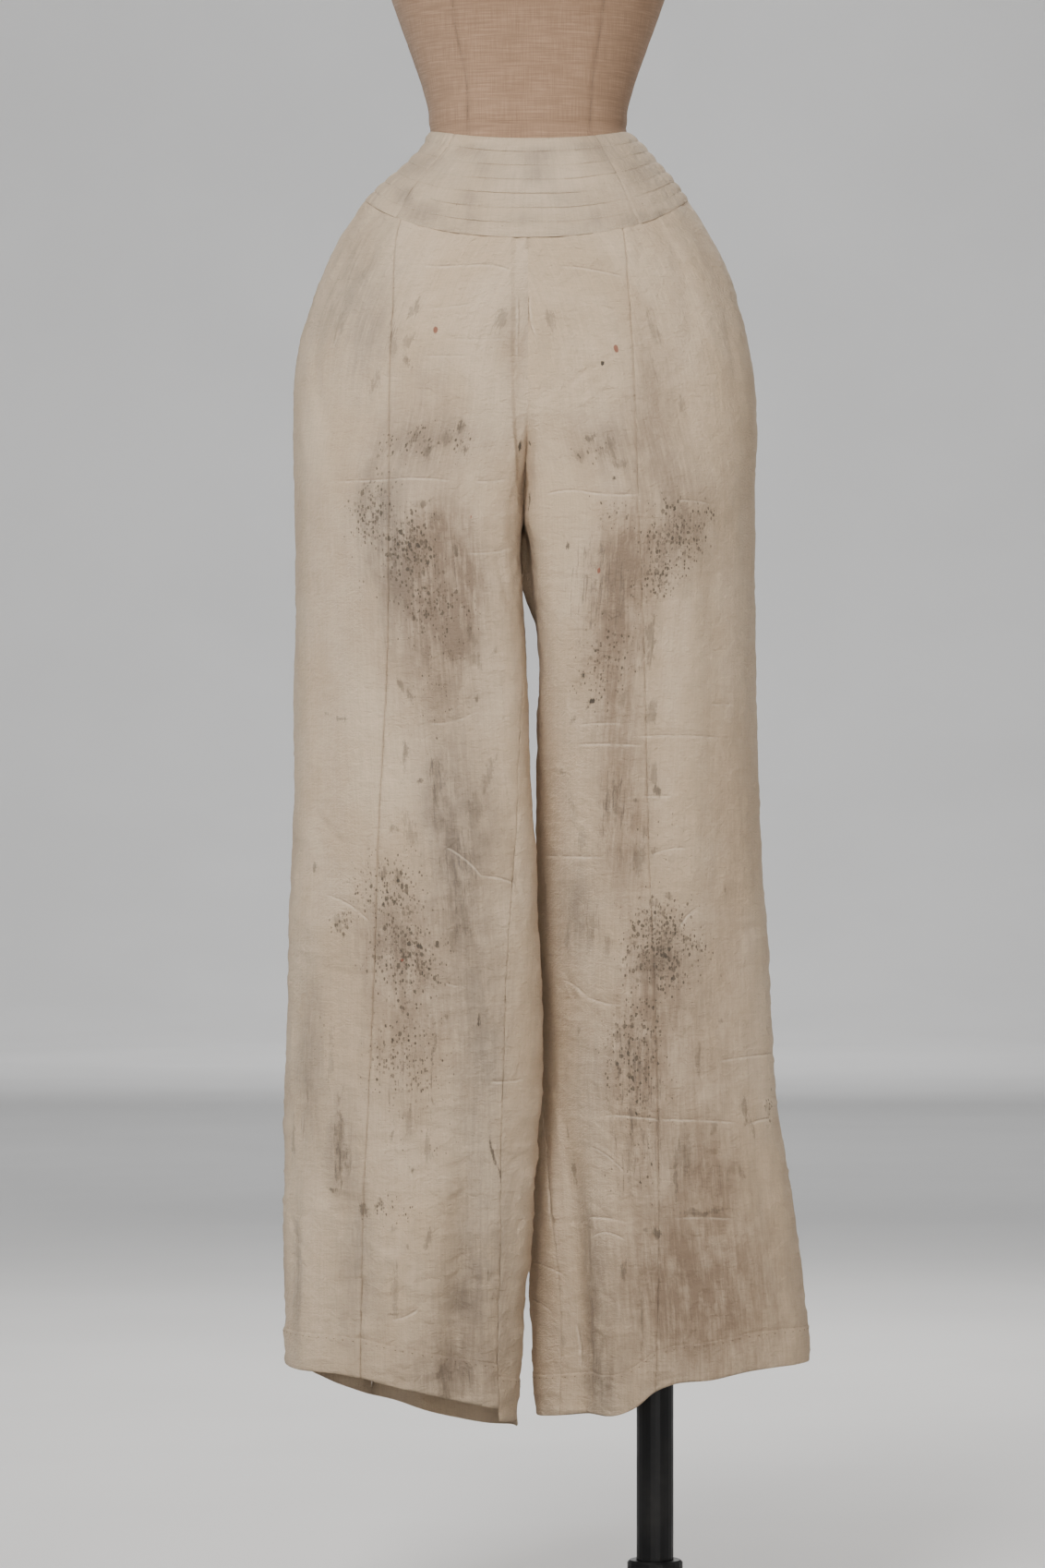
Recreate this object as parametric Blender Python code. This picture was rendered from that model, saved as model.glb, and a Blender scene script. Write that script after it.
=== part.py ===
"""Wide-leg trousers with an elastic waistband, worn by a limbless dress form on a stand.

Metres, +Z up. The origin is on the floor under the middle of the base plate. The front of the
trousers faces -Y, so the wearer's right leg is at -X. Heights on the garment are given as a drop
below WAIST_Z. A place around a leg is given in turns, u: 0 is the centre front (below the crotch,
the inner edge of the leg), 0.5 the outer side, and 1 the centre back (below the crotch, the inner
edge again).
"""

import math

import bmesh
import bpy
import numpy as np

MM = 0.001

# Driving sizes
WAIST_Z = 1.300  # the waistband's upper edge at the sides, above the floor
CLOTH = 1.5 * MM  # thickness of the cloth wall
HEM_CLOTH = 2.4 * MM  # thickness where the hem is turned up inside
HEM_HEIGHT = 38 * MM
SEAM_GAP = 0.3 * MM  # between two pieces that are sewn together
YOKE_GAP = 0.65 * MM  # between the waistband and the leg pieces
BODY_GAP = 0.85 * MM  # between the waistband and the form that carries it

# Powers of the sine and cosine in each section: 1 makes an ellipse, and less is squarer.
BODY_POWER = 0.88
CROTCH_POWER = 0.70
LEG_OUTER_POWER = 0.85
LEG_INNER_POWER = 1.05
TIP_POWER = 4.5  # how soon a section leaves the inner edge's own depth: more is sooner
SEAT_POWER = 0.65  # the same two powers behind the crotch
SEAT_TIP_POWER = 9
SEAT_REACH = 0.340  # drop below the crotch over which the seat's powers ease to the others

HIP_DROP = 0.100  # from here down, the sections around the hips turn towards those of the legs
CROTCH_TOP = 0.240  # drop at which the front and back begin to part into two legs
CROTCH = 0.335  # drop of the crotch point
CROTCH_X = -4 * MM
CROTCH_OPENING = 30 * MM  # drop over which the inner edges of the legs then swing apart

CHANNELS = 7  # elastic casings, one above the other, in the waistband
TUCK_STEP = 0.9 * MM  # how far each tuck's lower edge stands out on the front waistband
TUCK_LIP = 0.008  # the height of that edge's underside, as a share of the waistband
GATHERS = 34  # small folds around the elasticated part of the waistband
GATHER_DEPTH = 1.7 * MM
GATHER_RISE = 0.12  # turns over which the gathers grow from nothing, at each end
PINCHED = 0.35  # how much of a gather is left where a row of stitches holds it down
FRONT_BAND_TURNS = {-1: 0.244, 1: 0.190}  # where the plain front of the waistband ends
WAIST_TURN = 0.250  # cloth length in one turn at the waist

POLE_X = 0.110  # the pole stands off centre, so that it runs down inside the left leg
POLE_RADIUS = 0.016
BASE_SIZE = (0.500, 0.420, 0.008)
BASE_CORNER = 0.020
SOCKET_RADIUS = 0.045
SOCKET_PLATE = 0.008
SLEEVE_HEIGHT = 0.060
TORSO_BOTTOM = 0.240  # drop of the form's underside
ROUNDING = 0.024  # radius of the form's lower edge


def table(columns, *rows):
    """Named columns of millimetres, as arrays in metres."""
    return dict(zip(columns.split(), np.array(rows, float).T * MM))


# Half widths and depths of the cloth around the hips, one row for each section.
BODY = table(
    "drop right left front back",
    (0, 85, 86, 72, 76),
    (12, 91, 99, 77, 82),
    (28, 106, 113, 85, 92),
    (44, 125, 127, 93, 102),
    (60, 141, 138, 100, 111),
    (76, 152, 149, 105, 118),
    (92, 163, 159, 109, 124),
    (108, 171, 167, 112, 129),
    (124, 178, 174, 114, 133),
    (156, 190, 184, 117, 139),
    (188, 199, 191, 118, 142),
    (212, 202, 195, 118, 143),
    (250, 203, 197, 117, 142),
    (345, 201, 197, 112, 134),
)

# One row for each section of a leg: x of its outer and inner edges, y of its front and back
# faces, and y of its inner edge, which lies forward at the crotch and further back at the hem.
RIGHT_LEG = table(
    "drop outer inner front back tip",
    (240, -203, -8, -118, 143, -56),
    (335, -201, -8, -116, 135, -72),
    (404, -201, -6, -114, 128, -74),
    (444, -202, -3, -112, 124, -73),
    (564, -204, 1, -105, 109, -64),
    (684, -206, 7, -98, 96, -50),
    (804, -208, 13, -94, 86, -42),
    (884, -210, 8, -92, 80, -38),
    (964, -211, 2, -91, 76, -33),
    (1036, -211, -5, -90, 74, -28),
    (1125, -206, -11, -90, 72, -25),
)
LEFT_LEG = table(
    "drop outer inner front back tip",
    (240, 197, 0, -118, 143, -56),
    (335, 197, 0, -116, 135, -72),
    (404, 197, 5, -113, 127, -68),
    (444, 198, 8, -110, 122, -60),
    (564, 201, 6, -101, 105, -10),
    (684, 206, 5, -90, 90, 14),
    (804, 214, 8, -80, 76, 18),
    (884, 222, 4, -74, 68, 18),
    (964, 233, 1, -68, 60, 14),
    (1036, 242, 4, -64, 54, 10),
    (1125, 243, 8, -62, 50, 6),
)
LEG = {-1: RIGHT_LEG, 1: LEFT_LEG}

# x of the seams down the front and the back of each leg.
RIGHT_SEAMS = table(
    "drop front back",
    (0, -59, -59),
    (76, -106, -100),
    (164, -115, -112),
    (345, -118, -116),
    (444, -119, -118),
    (604, -127, -122),
    (804, -134, -128),
    (1000, -144, -134),
    (1125, -143, -138),
)
LEFT_SEAMS = table(
    "drop front back",
    (0, 44, 59),
    (76, 77, 98),
    (156, 86, 108),
    (345, 94, 112),
    (444, 98, 114),
    (604, 102, 118),
    (804, 110, 122),
    (1000, 111, 126),
    (1125, 108, 128),
)
SEAMS = {-1: RIGHT_SEAMS, 1: LEFT_SEAMS}
# How far the inseam is pulled round to the front, in thousandths of a turn.
INSEAMS = {
    -1: table("drop turn", (335, 0), (600, 85), (720, 120), (1000, 107), (1125, 90)),
    1: table("drop turn", (335, 0), (600, 20), (840, 55), (960, 95), (1125, 90)),
}

# Drop of the hem at places around each leg.
RIGHT_HEM = table(
    "x front back",
    (-212, 1065, 1065),
    (-160, 1070, 1090),
    (-98, 1080, 1110),
    (-30, 1091, 1122),
    (-5, 1113, 1116),
)
LEFT_HEM = table(
    "x front back",
    (5, 1110, 1108),
    (50, 1104, 1098),
    (82, 1099, 1090),
    (106, 1078, 1082),
    (180, 1067, 1072),
    (243, 1064, 1064),
)
HEM = {-1: RIGHT_HEM, 1: LEFT_HEM}

# The largest folds, from top to foot. A negative depth is a trough.
FOLD_COLUMNS = "top_x top_drop foot_x foot_drop width depth"
FRONT, BACK = -1, 1
FOLDS = {
    (-1, FRONT): table(
        FOLD_COLUMNS,
        (-44, 780, -64, 1130, 17, -11),
        (-150, 900, -138, 1130, 15, -6),
        (-168, 300, -176, 620, 18, -4),
    ),
    (-1, BACK): table(
        FOLD_COLUMNS,
        (-70, 330, -92, 1140, 20, -10),
        (-148, 420, -150, 1140, 17, -7),
    ),
    (1, FRONT): table(
        FOLD_COLUMNS,
        (30, 820, 44, 1130, 13, -12),
        (72, 900, 82, 1130, 15, 6),
        (158, 250, 166, 700, 18, -5),
    ),
    (1, BACK): table(
        FOLD_COLUMNS,
        (72, 330, 84, 1140, 20, -9),
        (150, 480, 176, 1140, 18, -7),
    ),
}

# Half widths and depths of the form above the waist, by height over WAIST_Z.
TORSO = table(
    "rise half front back",
    (0, 83, 71, 75),
    (5, 85, 73, 77),
    (18, 86, 74, 78),
    (38, 91, 77, 80),
    (76, 104, 84, 84),
    (115, 118, 95, 88),
    (150, 129, 109, 91),
    (182, 136, 117, 94),
    (214, 139, 118, 95),
    (250, 144, 111, 98),
    (292, 152, 95, 97),
    (325, 157, 80, 90),
    (341, 145, 72, 83),
    (354, 118, 65, 75),
    (366, 90, 59, 67),
    (380, 68, 55, 60),
    (396, 58, 53, 56),
    (436, 56, 52, 54),
)
# How far inside the cloth the form's hips lie, by drop.
TORSO_INSET = table("drop inset", (0, 0), (60, 0), (120, 7), (200, 13), (240, 18))
TORSO_DROPS = np.array([190, 165, 140, 120, 100, 88, 76, 65, 54, 43, 32, 21, 10, 0]) * MM

PANEL_COLUMNS = {"front": 9, "side": 14, "back": 11}
ROWS_ABOVE_CROTCH = 8
ROWS_BELOW_CROTCH = 16
FRONT_BAND_COLUMNS = 14
TURN_STEP = 1e-3  # turns between points that give a direction along the cloth
START_DROP = 0.08  # about where the leg pieces begin
HEM_DROP = 1.08  # about where they end


def smooth(rows, column, at, key="drop"):
    """A column of a table at any place, along a smooth curve through its rows."""
    x, y = rows[key], rows[column]
    slope = np.gradient(y, x)
    at = np.clip(at, x[0], x[-1])
    k = np.clip(np.searchsorted(x, at) - 1, 0, len(x) - 2)
    h = x[k + 1] - x[k]
    t = (at - x[k]) / h
    return (
        y[k] * (1 + 2 * t) * (1 - t) ** 2
        + y[k + 1] * t**2 * (3 - 2 * t)
        + slope[k] * h * t * (1 - t) ** 2
        + slope[k + 1] * h * t**2 * (t - 1)
    )


def eased(t):
    t = np.clip(t, 0, 1)
    return t * t * (3 - 2 * t)


def power(value, exponent):
    return np.sign(value) * np.abs(value) ** exponent


def mixed(a, b, share):
    return a + (b - a) * share


def body_power(drop):
    return mixed(BODY_POWER, CROTCH_POWER, eased((drop - HIP_DROP) / (CROTCH - HIP_DROP)))


def hips(side, drop, u):
    """A point of the section around the hips, seen from above: x and y."""
    beta = math.pi * u
    exponent = body_power(drop)
    half = smooth(BODY, "left" if side > 0 else "right", drop)
    front = smooth(BODY, "front", drop)
    back = smooth(BODY, "back", drop)
    x = side * half * power(np.sin(beta), exponent)
    y = -np.where(np.cos(beta) > 0, front, back) * power(np.cos(beta), exponent)
    return x, y


def leg(side, drop, u):
    """A point of the section around one leg, seen from above: x and y."""
    rows = LEG[side]
    alpha = 2 * math.pi * u
    across = (1 - np.cos(alpha)) / 2
    sewn = CROTCH_X + side * SEAM_GAP
    inner = mixed(sewn, smooth(rows, "inner", drop), eased((drop - CROTCH) / CROTCH_OPENING))
    outer = smooth(rows, "outer", drop)
    front = smooth(rows, "front", drop)
    back = smooth(rows, "back", drop)
    # Behind, near the crotch, the section is fuller.
    full = (np.sin(alpha) < 0) * (1 - eased((drop - CROTCH) / SEAT_REACH))
    pull = (1 - across) ** mixed(TIP_POWER, SEAT_TIP_POWER, full)
    middle = mixed((front + back) / 2, smooth(rows, "tip", drop), pull)
    exponent = mixed(mixed(LEG_INNER_POWER, SEAT_POWER, full), LEG_OUTER_POWER, across)
    x = mixed(inner, outer, across)
    y = middle - (back - front) / 2 * power(np.sin(alpha), exponent)
    return x, y


def fold_depth(side, drop, u, x):
    """How far the folds move the cloth out there."""
    total = np.zeros(np.shape(x))
    for face in (FRONT, BACK):
        folds = FOLDS[side, face]
        on_face = (np.sin(2 * math.pi * u) > 0) == (face == FRONT)
        for k, depth in enumerate(folds["depth"]):
            top_x, top, foot_x, foot, width = (folds[c][k] for c in FOLD_COLUMNS.split()[:5])
            along = (drop - top) / (foot - top)
            across = (x - mixed(top_x, foot_x, along)) / width
            fade = eased(along * 2.2) * eased((1.25 - along) * 4)
            total = total + depth * np.exp(-(across**2)) * fade * on_face
    return total


def section(side, drop, u):
    """A point of the outer face of the cloth, before folds: x and y."""
    parted = eased((drop - CROTCH_TOP) / (CROTCH - CROTCH_TOP))
    inside = np.clip(u, 0, 1)
    # Towards the crotch, the place on the hips is the one straight above that place on the leg.
    across = (1 - np.cos(2 * math.pi * inside)) / 2
    above = np.arcsin(across ** (1 / body_power(drop))) / math.pi
    above = np.where(inside < 0.5, above, 1 - above)
    slid = eased((drop - HIP_DROP) / (CROTCH_TOP - HIP_DROP))
    hip_x, hip_y = hips(side, drop, mixed(inside, above, slid))
    leg_x, leg_y = leg(side, drop, u)
    return mixed(hip_x, leg_x, parted), mixed(hip_y, leg_y, parted)


def run_along(side, drop, u):
    """How far x and y move in one turn, at that place."""
    ax, ay = section(side, drop, u - TURN_STEP)
    bx, by = section(side, drop, u + TURN_STEP)
    return (bx - ax) / (2 * TURN_STEP), (by - ay) / (2 * TURN_STEP)


def surface(side, drop, u):
    """Points of the outer face of the cloth, folds included."""
    x, y = section(side, drop, u)
    run_x, run_y = run_along(side, drop, u)
    # Past the centre front and back the hips have no run, so the length is kept above nothing.
    out = side * fold_depth(side, drop, u, x) / np.maximum(np.hypot(run_x, run_y), 1e-6)
    z = np.broadcast_to(WAIST_Z - drop, np.shape(x))
    return np.stack([x + out * run_y, y - out * run_x, z], axis=-1)


def normals(side, drop, u):
    """Outward directions of the cloth, found from points close by."""
    step = 4 * TURN_STEP
    across = surface(side, drop, u + step) - surface(side, drop, u - step)
    up = surface(side, drop - step, u) - surface(side, drop + step, u)
    out = side * np.cross(across, up)
    return out / np.linalg.norm(out, axis=-1, keepdims=True)


def turn_at_x(side, drop, x, face):
    """The place around the leg where the section passes x, on the front or the back."""
    near, far = (0.0, 0.5) if face < 0 else (1.0, 0.5)
    near, far = np.full(np.shape(drop), near), np.full(np.shape(drop), far)
    for _ in range(30):
        middle = (near + far) / 2
        inside = side * section(side, drop, middle)[0] < side * x
        near, far = np.where(inside, middle, near), np.where(inside, far, middle)
    return (near + far) / 2


def seam_turns(side, drop):
    """The places around the leg of the inseam and of the front and back seams."""
    rows = SEAMS[side]
    front = turn_at_x(side, drop, smooth(rows, "front", drop), -1)
    back = turn_at_x(side, drop, smooth(rows, "back", drop), 1)
    return np.maximum(smooth(INSEAMS[side], "turn", drop), 0), front, back


def panel_span(side, panel, drop):
    """The first and last place around the leg of a panel, half a seam gap inside its seams."""
    inseam, front, back = seam_turns(side, drop)
    first, last = {
        "front": (inseam, front),
        "side": (front, back),
        "back": (back, 1 + inseam),
    }[panel]
    first = first + SEAM_GAP / 2 / np.hypot(*run_along(side, drop, first + TURN_STEP))
    last = last - SEAM_GAP / 2 / np.hypot(*run_along(side, drop, last - TURN_STEP))
    return first, last


def band_top(u):
    """Drop of the waistband's upper edge."""
    return np.where(u < 0.5, 12, 5) * MM * np.cos(math.pi * u) ** 2


def band_foot(u):
    """Drop of the seam under the waistband."""
    return (60 + np.where(u < 0.5, 40, 22) * np.cos(math.pi * u) ** 2) * MM


def hem_drop(side, u):
    x = leg(side, np.full(np.shape(u), HEM_DROP), u)[0]
    front = smooth(HEM[side], "front", x, key="x")
    back = smooth(HEM[side], "back", x, key="x")
    return np.where(np.sin(2 * math.pi * u) > 0, front, back)


def material(name, colour, roughness, metallic=0.0):
    """A plain finish."""
    made = bpy.data.materials.new(name)
    made.use_nodes = True
    shader = made.node_tree.nodes["Principled BSDF"]
    shader.inputs["Base Color"].default_value = (*colour, 1)
    shader.inputs["Roughness"].default_value = roughness
    shader.inputs["Metallic"].default_value = metallic
    return made


def new_object(name, bm, finish, sharp=35):
    """Turns a bmesh into a smooth-shaded object of the scene."""
    bmesh.ops.recalc_face_normals(bm, faces=bm.faces)
    mesh = bpy.data.meshes.new(name)
    bm.to_mesh(mesh)
    bm.free()
    mesh.shade_smooth()
    mesh.set_sharp_from_angle(angle=math.radians(sharp))
    mesh.materials.append(finish)
    made = bpy.data.objects.new(name, mesh)
    bpy.context.scene.collection.objects.link(made)
    return made


def add_grid(bm, points):
    """Quads through a grid of points. It returns the grid of vertices."""
    verts = [[bm.verts.new(p) for p in row] for row in points]
    for upper, lower in zip(verts, verts[1:]):
        for a, b, c, d in zip(upper, upper[1:], lower[1:], lower):
            bm.faces.new((a, b, c, d))
    return verts


def join_edges(bm, fine, coarse):
    """Fills between two rows of vertices, with one or two fine steps for each coarse one."""
    ratio = (len(fine) - 1) // (len(coarse) - 1)
    for k, (a, b) in enumerate(zip(coarse, coarse[1:])):
        part = fine[k * ratio : (k + 1) * ratio + 1]
        if ratio == 1:
            bm.faces.new((part[0], part[1], b, a))
            continue
        half = ratio // 2
        for i, (p, q) in enumerate(zip(part, part[1:])):
            bm.faces.new((p, q, a if i < half else b))
        bm.faces.new((a, part[half], b))


def wall(name, outer, inner, finish):
    """A closed wall between an outer grid of points and a coarser or equal inner one."""
    bm = bmesh.new()
    out = add_grid(bm, outer)
    ins = add_grid(bm, inner)
    join_edges(bm, out[0], ins[0])
    join_edges(bm, out[-1], ins[-1])
    join_edges(bm, [row[0] for row in out], [row[0] for row in ins])
    join_edges(bm, [row[-1] for row in out], [row[-1] for row in ins])
    return new_object(name, bm, finish)


def cloth_panel(name, side, panel, finish):
    """One cut piece of a leg, from the seam under the waistband to its hem."""
    across = np.linspace(0, 1, PANEL_COLUMNS[panel] + 1)[None, :]

    def placed(drop):
        """Turns at each column of the panel for a grid of drops."""
        first, last = panel_span(side, panel, drop)
        return first + (last - first) * across

    top = band_foot(np.clip(placed(np.full(across.shape, START_DROP)), 0, 1)) + YOKE_GAP
    hem = hem_drop(side, placed(np.full(across.shape, HEM_DROP)))
    turned_up = hem - HEM_HEIGHT
    upper = np.linspace(0, 1, ROWS_ABOVE_CROTCH + 1)[:-1, None]
    lower = np.linspace(0, 1, ROWS_BELOW_CROTCH + 1)[:, None]
    drop = np.vstack(
        [
            top + (CROTCH - top) * upper,
            CROTCH + (turned_up - CROTCH) * lower,
            turned_up + 2 * MM,
            (turned_up + hem) / 2,
            hem,
        ]
    )
    u = placed(drop)
    thick = np.full(drop.shape, CLOTH)
    thick[-3:] = HEM_CLOTH
    outer = surface(side, drop, u)
    inner = outer - normals(side, drop, u) * thick[..., None]
    return wall(name, outer, inner, finish)


def around_body(drop, turns):
    """Points and outward directions around the hips. Turns run from -1 (right) to 1 (left)."""
    u = np.abs(turns)
    on_left = (turns >= 0)[..., None]
    points = np.where(on_left, surface(1, drop, u), surface(-1, drop, u))
    out = np.where(on_left, normals(1, drop, u), normals(-1, drop, u))
    on_middle = np.abs(np.sin(math.pi * u)) < 1e-6
    out[on_middle, 0] = 0
    return points, out / np.linalg.norm(out, axis=-1, keepdims=True)


def front_turns():
    """Columns of the plain front of the waistband."""
    gap = SEAM_GAP / 2 / WAIST_TURN
    start, end = -FRONT_BAND_TURNS[-1] + gap, FRONT_BAND_TURNS[1] - gap
    return np.linspace(start, end, FRONT_BAND_COLUMNS + 1)


def back_turns():
    """Columns of the elasticated part, on round the back from left to right: two for each gather."""
    gap = SEAM_GAP / 2 / WAIST_TURN
    start, end = FRONT_BAND_TURNS[1] + gap, 2 - FRONT_BAND_TURNS[-1] - gap
    return np.linspace(start, end, 2 * GATHERS + 1)


def folded_back(turns):
    """Turns past the centre back, counted from the front on the other side instead."""
    return np.where(turns <= 1, turns, turns - 2)


def waistband_front(finish):
    """The plain front of the waistband: tucks that overlap downwards like shingles."""
    columns = front_turns()[None, :]
    top, foot = band_top(np.abs(columns)), band_foot(np.abs(columns))
    tucks = np.arange(CHANNELS) / CHANNELS
    parts = np.stack([tucks, tucks + 1 / CHANNELS - TUCK_LIP], axis=1).reshape(-1, 1)
    parts[-1] = 1
    raised = np.tile([0, TUCK_STEP], CHANNELS)[:, None, None]
    drop = mixed(top, foot, parts)
    points, out = around_body(drop, np.repeat(columns, len(drop), axis=0))
    return wall("waistband_front", points + out * raised, points - out * CLOTH, finish)


def waistband_back(finish):
    """The elasticated sides and back of the waistband, gathered into small upright folds."""
    turns = back_turns()[None, :]
    lines = np.linspace(0, 1, 2 * CHANNELS + 1)[:, None]
    folded = folded_back(turns)
    top, foot = band_top(np.abs(folded)), band_foot(np.abs(folded))
    drop = mixed(top, foot, lines)
    points, out = around_body(drop, np.repeat(folded, len(drop), axis=0))
    crest = np.arange(turns.shape[1])[None, :] % 2
    puffed = np.where(np.arange(len(lines))[:, None] % 2 == 1, 1, PINCHED)
    strength = eased(np.minimum(turns - turns[0, 0], turns[0, -1] - turns) / GATHER_RISE)
    raised = GATHER_DEPTH * crest * puffed * strength
    outer = points + out * raised[..., None]
    inner = (points - out * CLOTH)[::2, ::2]
    return wall("waistband_back", outer, inner, finish)


def torso_rings():
    """Rings of points up the form, from its underside to its neck."""
    turns = np.concatenate([front_turns(), folded_back(back_turns()[::2])])[None, :]
    rings = []
    edge = TORSO_BOTTOM - ROUNDING
    for angle in np.radians([0, 30, 60, 90]):
        points, out = around_body(np.full(turns.shape, edge), turns)
        depth = smooth(TORSO_INSET, "inset", edge) + ROUNDING * (1 - math.sin(angle))
        points = points - out * (CLOTH + BODY_GAP + depth)
        points[..., 2] = WAIST_Z - edge - ROUNDING * math.cos(angle)
        rings.append(points)
    for drop in TORSO_DROPS:
        points, out = around_body(np.full(turns.shape, drop), turns)
        depth = CLOTH + BODY_GAP + smooth(TORSO_INSET, "inset", drop)
        rings.append(points - out * depth)
    beta = math.pi * turns
    for rise in TORSO["rise"][1:]:
        half, front, back = (smooth(TORSO, c, rise, key="rise") for c in ("half", "front", "back"))
        x = half * power(np.sin(beta), BODY_POWER)
        y = -np.where(np.cos(beta) > 0, front, back) * power(np.cos(beta), BODY_POWER)
        rings.append(np.stack([x, y, np.full(x.shape, WAIST_Z + rise)], axis=-1))
    return np.vstack(rings)


def form_torso(finish):
    """The padded form: one smooth closed body from the hips to the neck."""
    bm = bmesh.new()
    rings = [[bm.verts.new(p) for p in ring] for ring in torso_rings()]
    for lower, upper in zip(rings, rings[1:]):
        for k in range(len(lower)):
            after = (k + 1) % len(lower)
            bm.faces.new((lower[k], lower[after], upper[after], upper[k]))
    bm.faces.new(rings[0][::-1])
    bm.faces.new(rings[-1])
    return new_object("form_torso", bm, finish)


def turned(name, profile, finish, centre=(0, 0), steps=24):
    """A body turned about an upright axis, from its outline of (radius, height), foot to head.

    An outline that starts at the axis makes a solid body, and any other one makes a ring.
    """
    bm = bmesh.new()
    angles = np.arange(steps) * 2 * math.pi / steps
    x, y = centre
    rings = [
        [bm.verts.new((x + r * math.cos(a), y + r * math.sin(a), z)) for a in angles]
        for r, z in profile
        if r > 0
    ]
    pairs = list(zip(rings, rings[1:]))
    if profile[0][0] == 0:
        bm.faces.new(rings[0][::-1])
        bm.faces.new(rings[-1])
    else:
        pairs.append((rings[-1], rings[0]))
    for lower, upper in pairs:
        for k in range(steps):
            after = (k + 1) % steps
            bm.faces.new((lower[k], lower[after], upper[after], upper[k]))
    return new_object(name, bm, finish)


def lifted(profile, foot):
    """An outline given in millimetres, moved up to the height of its foot."""
    return [(r * MM, foot + z * MM) for r, z in profile]


def neck_cap(finish):
    """A low turned cap that closes the neck."""
    profile = [(0, 0), (50, 0), (53, 2), (53, 8), (49, 12), (30, 15.5), (12, 17)]
    foot = WAIST_Z + TORSO["rise"][-1] + SEAM_GAP
    turned("form_neck_cap", lifted(profile, foot), finish)


def base_plate(finish):
    """A flat plate with rounded corners, its underside on the floor."""
    width, depth, thick = BASE_SIZE
    outline = []
    for corner, (right, back) in enumerate(((1, 1), (-1, 1), (-1, -1), (1, -1))):
        x = right * (width / 2 - BASE_CORNER)
        y = back * (depth / 2 - BASE_CORNER)
        for angle in np.radians(corner * 90 + np.linspace(0, 90, 6)):
            outline.append((x + BASE_CORNER * math.cos(angle), y + BASE_CORNER * math.sin(angle)))
    bm = bmesh.new()
    lower = bm.faces.new([bm.verts.new((x, y, 0)) for x, y in outline])
    raised = bmesh.ops.extrude_face_region(bm, geom=[lower], use_keep_orig=True)["geom"]
    top = [v for v in raised if isinstance(v, bmesh.types.BMVert)]
    bmesh.ops.translate(bm, vec=(0, 0, thick), verts=top)
    new_object("stand_base", bm, finish)


def stand(finish):
    """The plain stand: base plate, collar, pole, and the socket under the form."""
    base_plate(finish)
    centre = (POLE_X, 0)
    foot = BASE_SIZE[2] + SEAM_GAP
    plate_top = WAIST_Z - TORSO_BOTTOM - SEAM_GAP
    plate_foot = plate_top - SOCKET_PLATE
    pole_top = plate_foot - SEAM_GAP
    bore = (POLE_RADIUS + SEAM_GAP) / MM
    sleeve = SLEEVE_HEIGHT / MM

    pole = [(0, foot), (POLE_RADIUS, foot), (POLE_RADIUS, pole_top)]
    turned("stand_pole", pole, finish, centre)
    collar = [(bore, 0), (34, 0), (34, 5), (24, 12), (24, 55), (22, 57), (bore, 57)]
    turned("stand_collar", lifted(collar, foot), finish, centre)
    plate = [(0, plate_foot), (SOCKET_RADIUS, plate_foot), (SOCKET_RADIUS, plate_top)]
    turned("stand_socket_plate", plate, finish, centre)
    profile = [(bore, 0), (22, 0), (22, sleeve), (bore, sleeve)]
    turned("stand_socket_sleeve", lifted(profile, pole_top - SLEEVE_HEIGHT), finish, centre)


def main():
    for old in list(bpy.data.objects):
        bpy.data.objects.remove(old, do_unlink=True)
    cloth = material("cotton", (0.62, 0.55, 0.46), 0.9)
    band = material("cotton_band", (0.60, 0.53, 0.45), 0.9)
    linen = material("form_linen", (0.45, 0.35, 0.28), 0.9)
    wood = material("dark_wood", (0.06, 0.04, 0.03), 0.4)
    steel = material("black_steel", (0.02, 0.02, 0.02), 0.5, 0.6)

    for side, leg_name in ((-1, "right_leg"), (1, "left_leg")):
        for panel in ("front", "side", "back"):
            cloth_panel(f"{leg_name}_{panel}", side, panel, cloth)
    waistband_front(band)
    waistband_back(band)
    form_torso(linen)
    neck_cap(wood)
    stand(steel)


main()
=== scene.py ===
import itertools
import math

import bmesh
import bpy
import numpy as np
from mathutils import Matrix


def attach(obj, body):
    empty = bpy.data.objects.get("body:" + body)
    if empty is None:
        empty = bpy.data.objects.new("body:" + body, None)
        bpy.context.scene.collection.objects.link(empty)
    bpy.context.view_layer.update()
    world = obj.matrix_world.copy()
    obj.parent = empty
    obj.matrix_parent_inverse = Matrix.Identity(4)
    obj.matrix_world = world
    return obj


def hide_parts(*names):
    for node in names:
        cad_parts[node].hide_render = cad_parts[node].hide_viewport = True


# Looks of the wide-leg trousers with an elastic waistband, on their dress form.
# Metres, +Z up. The front faces -Y. Heights on the garment are drops below WAIST_Z, and places
# around a leg are turns: 0 is the centre front, 0.5 the outer side and 1 the centre back.

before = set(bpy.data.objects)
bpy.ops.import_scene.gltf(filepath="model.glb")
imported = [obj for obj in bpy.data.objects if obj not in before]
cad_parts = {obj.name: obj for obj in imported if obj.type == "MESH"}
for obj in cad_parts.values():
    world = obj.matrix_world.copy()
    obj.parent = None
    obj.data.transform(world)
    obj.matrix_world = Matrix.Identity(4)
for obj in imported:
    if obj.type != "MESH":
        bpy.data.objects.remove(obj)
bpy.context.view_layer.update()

MM = 0.001
PIXEL = 0.8 * MM  # one pixel of the photograph, at the garment
MIDDLE_PX, WAIST_PX = 572, 145  # where the photograph shows x = 0 and a drop of 0
PARTING_PX = 568  # between the legs
CENTRE_PX = (566, 849)  # the middle of the photograph

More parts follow.
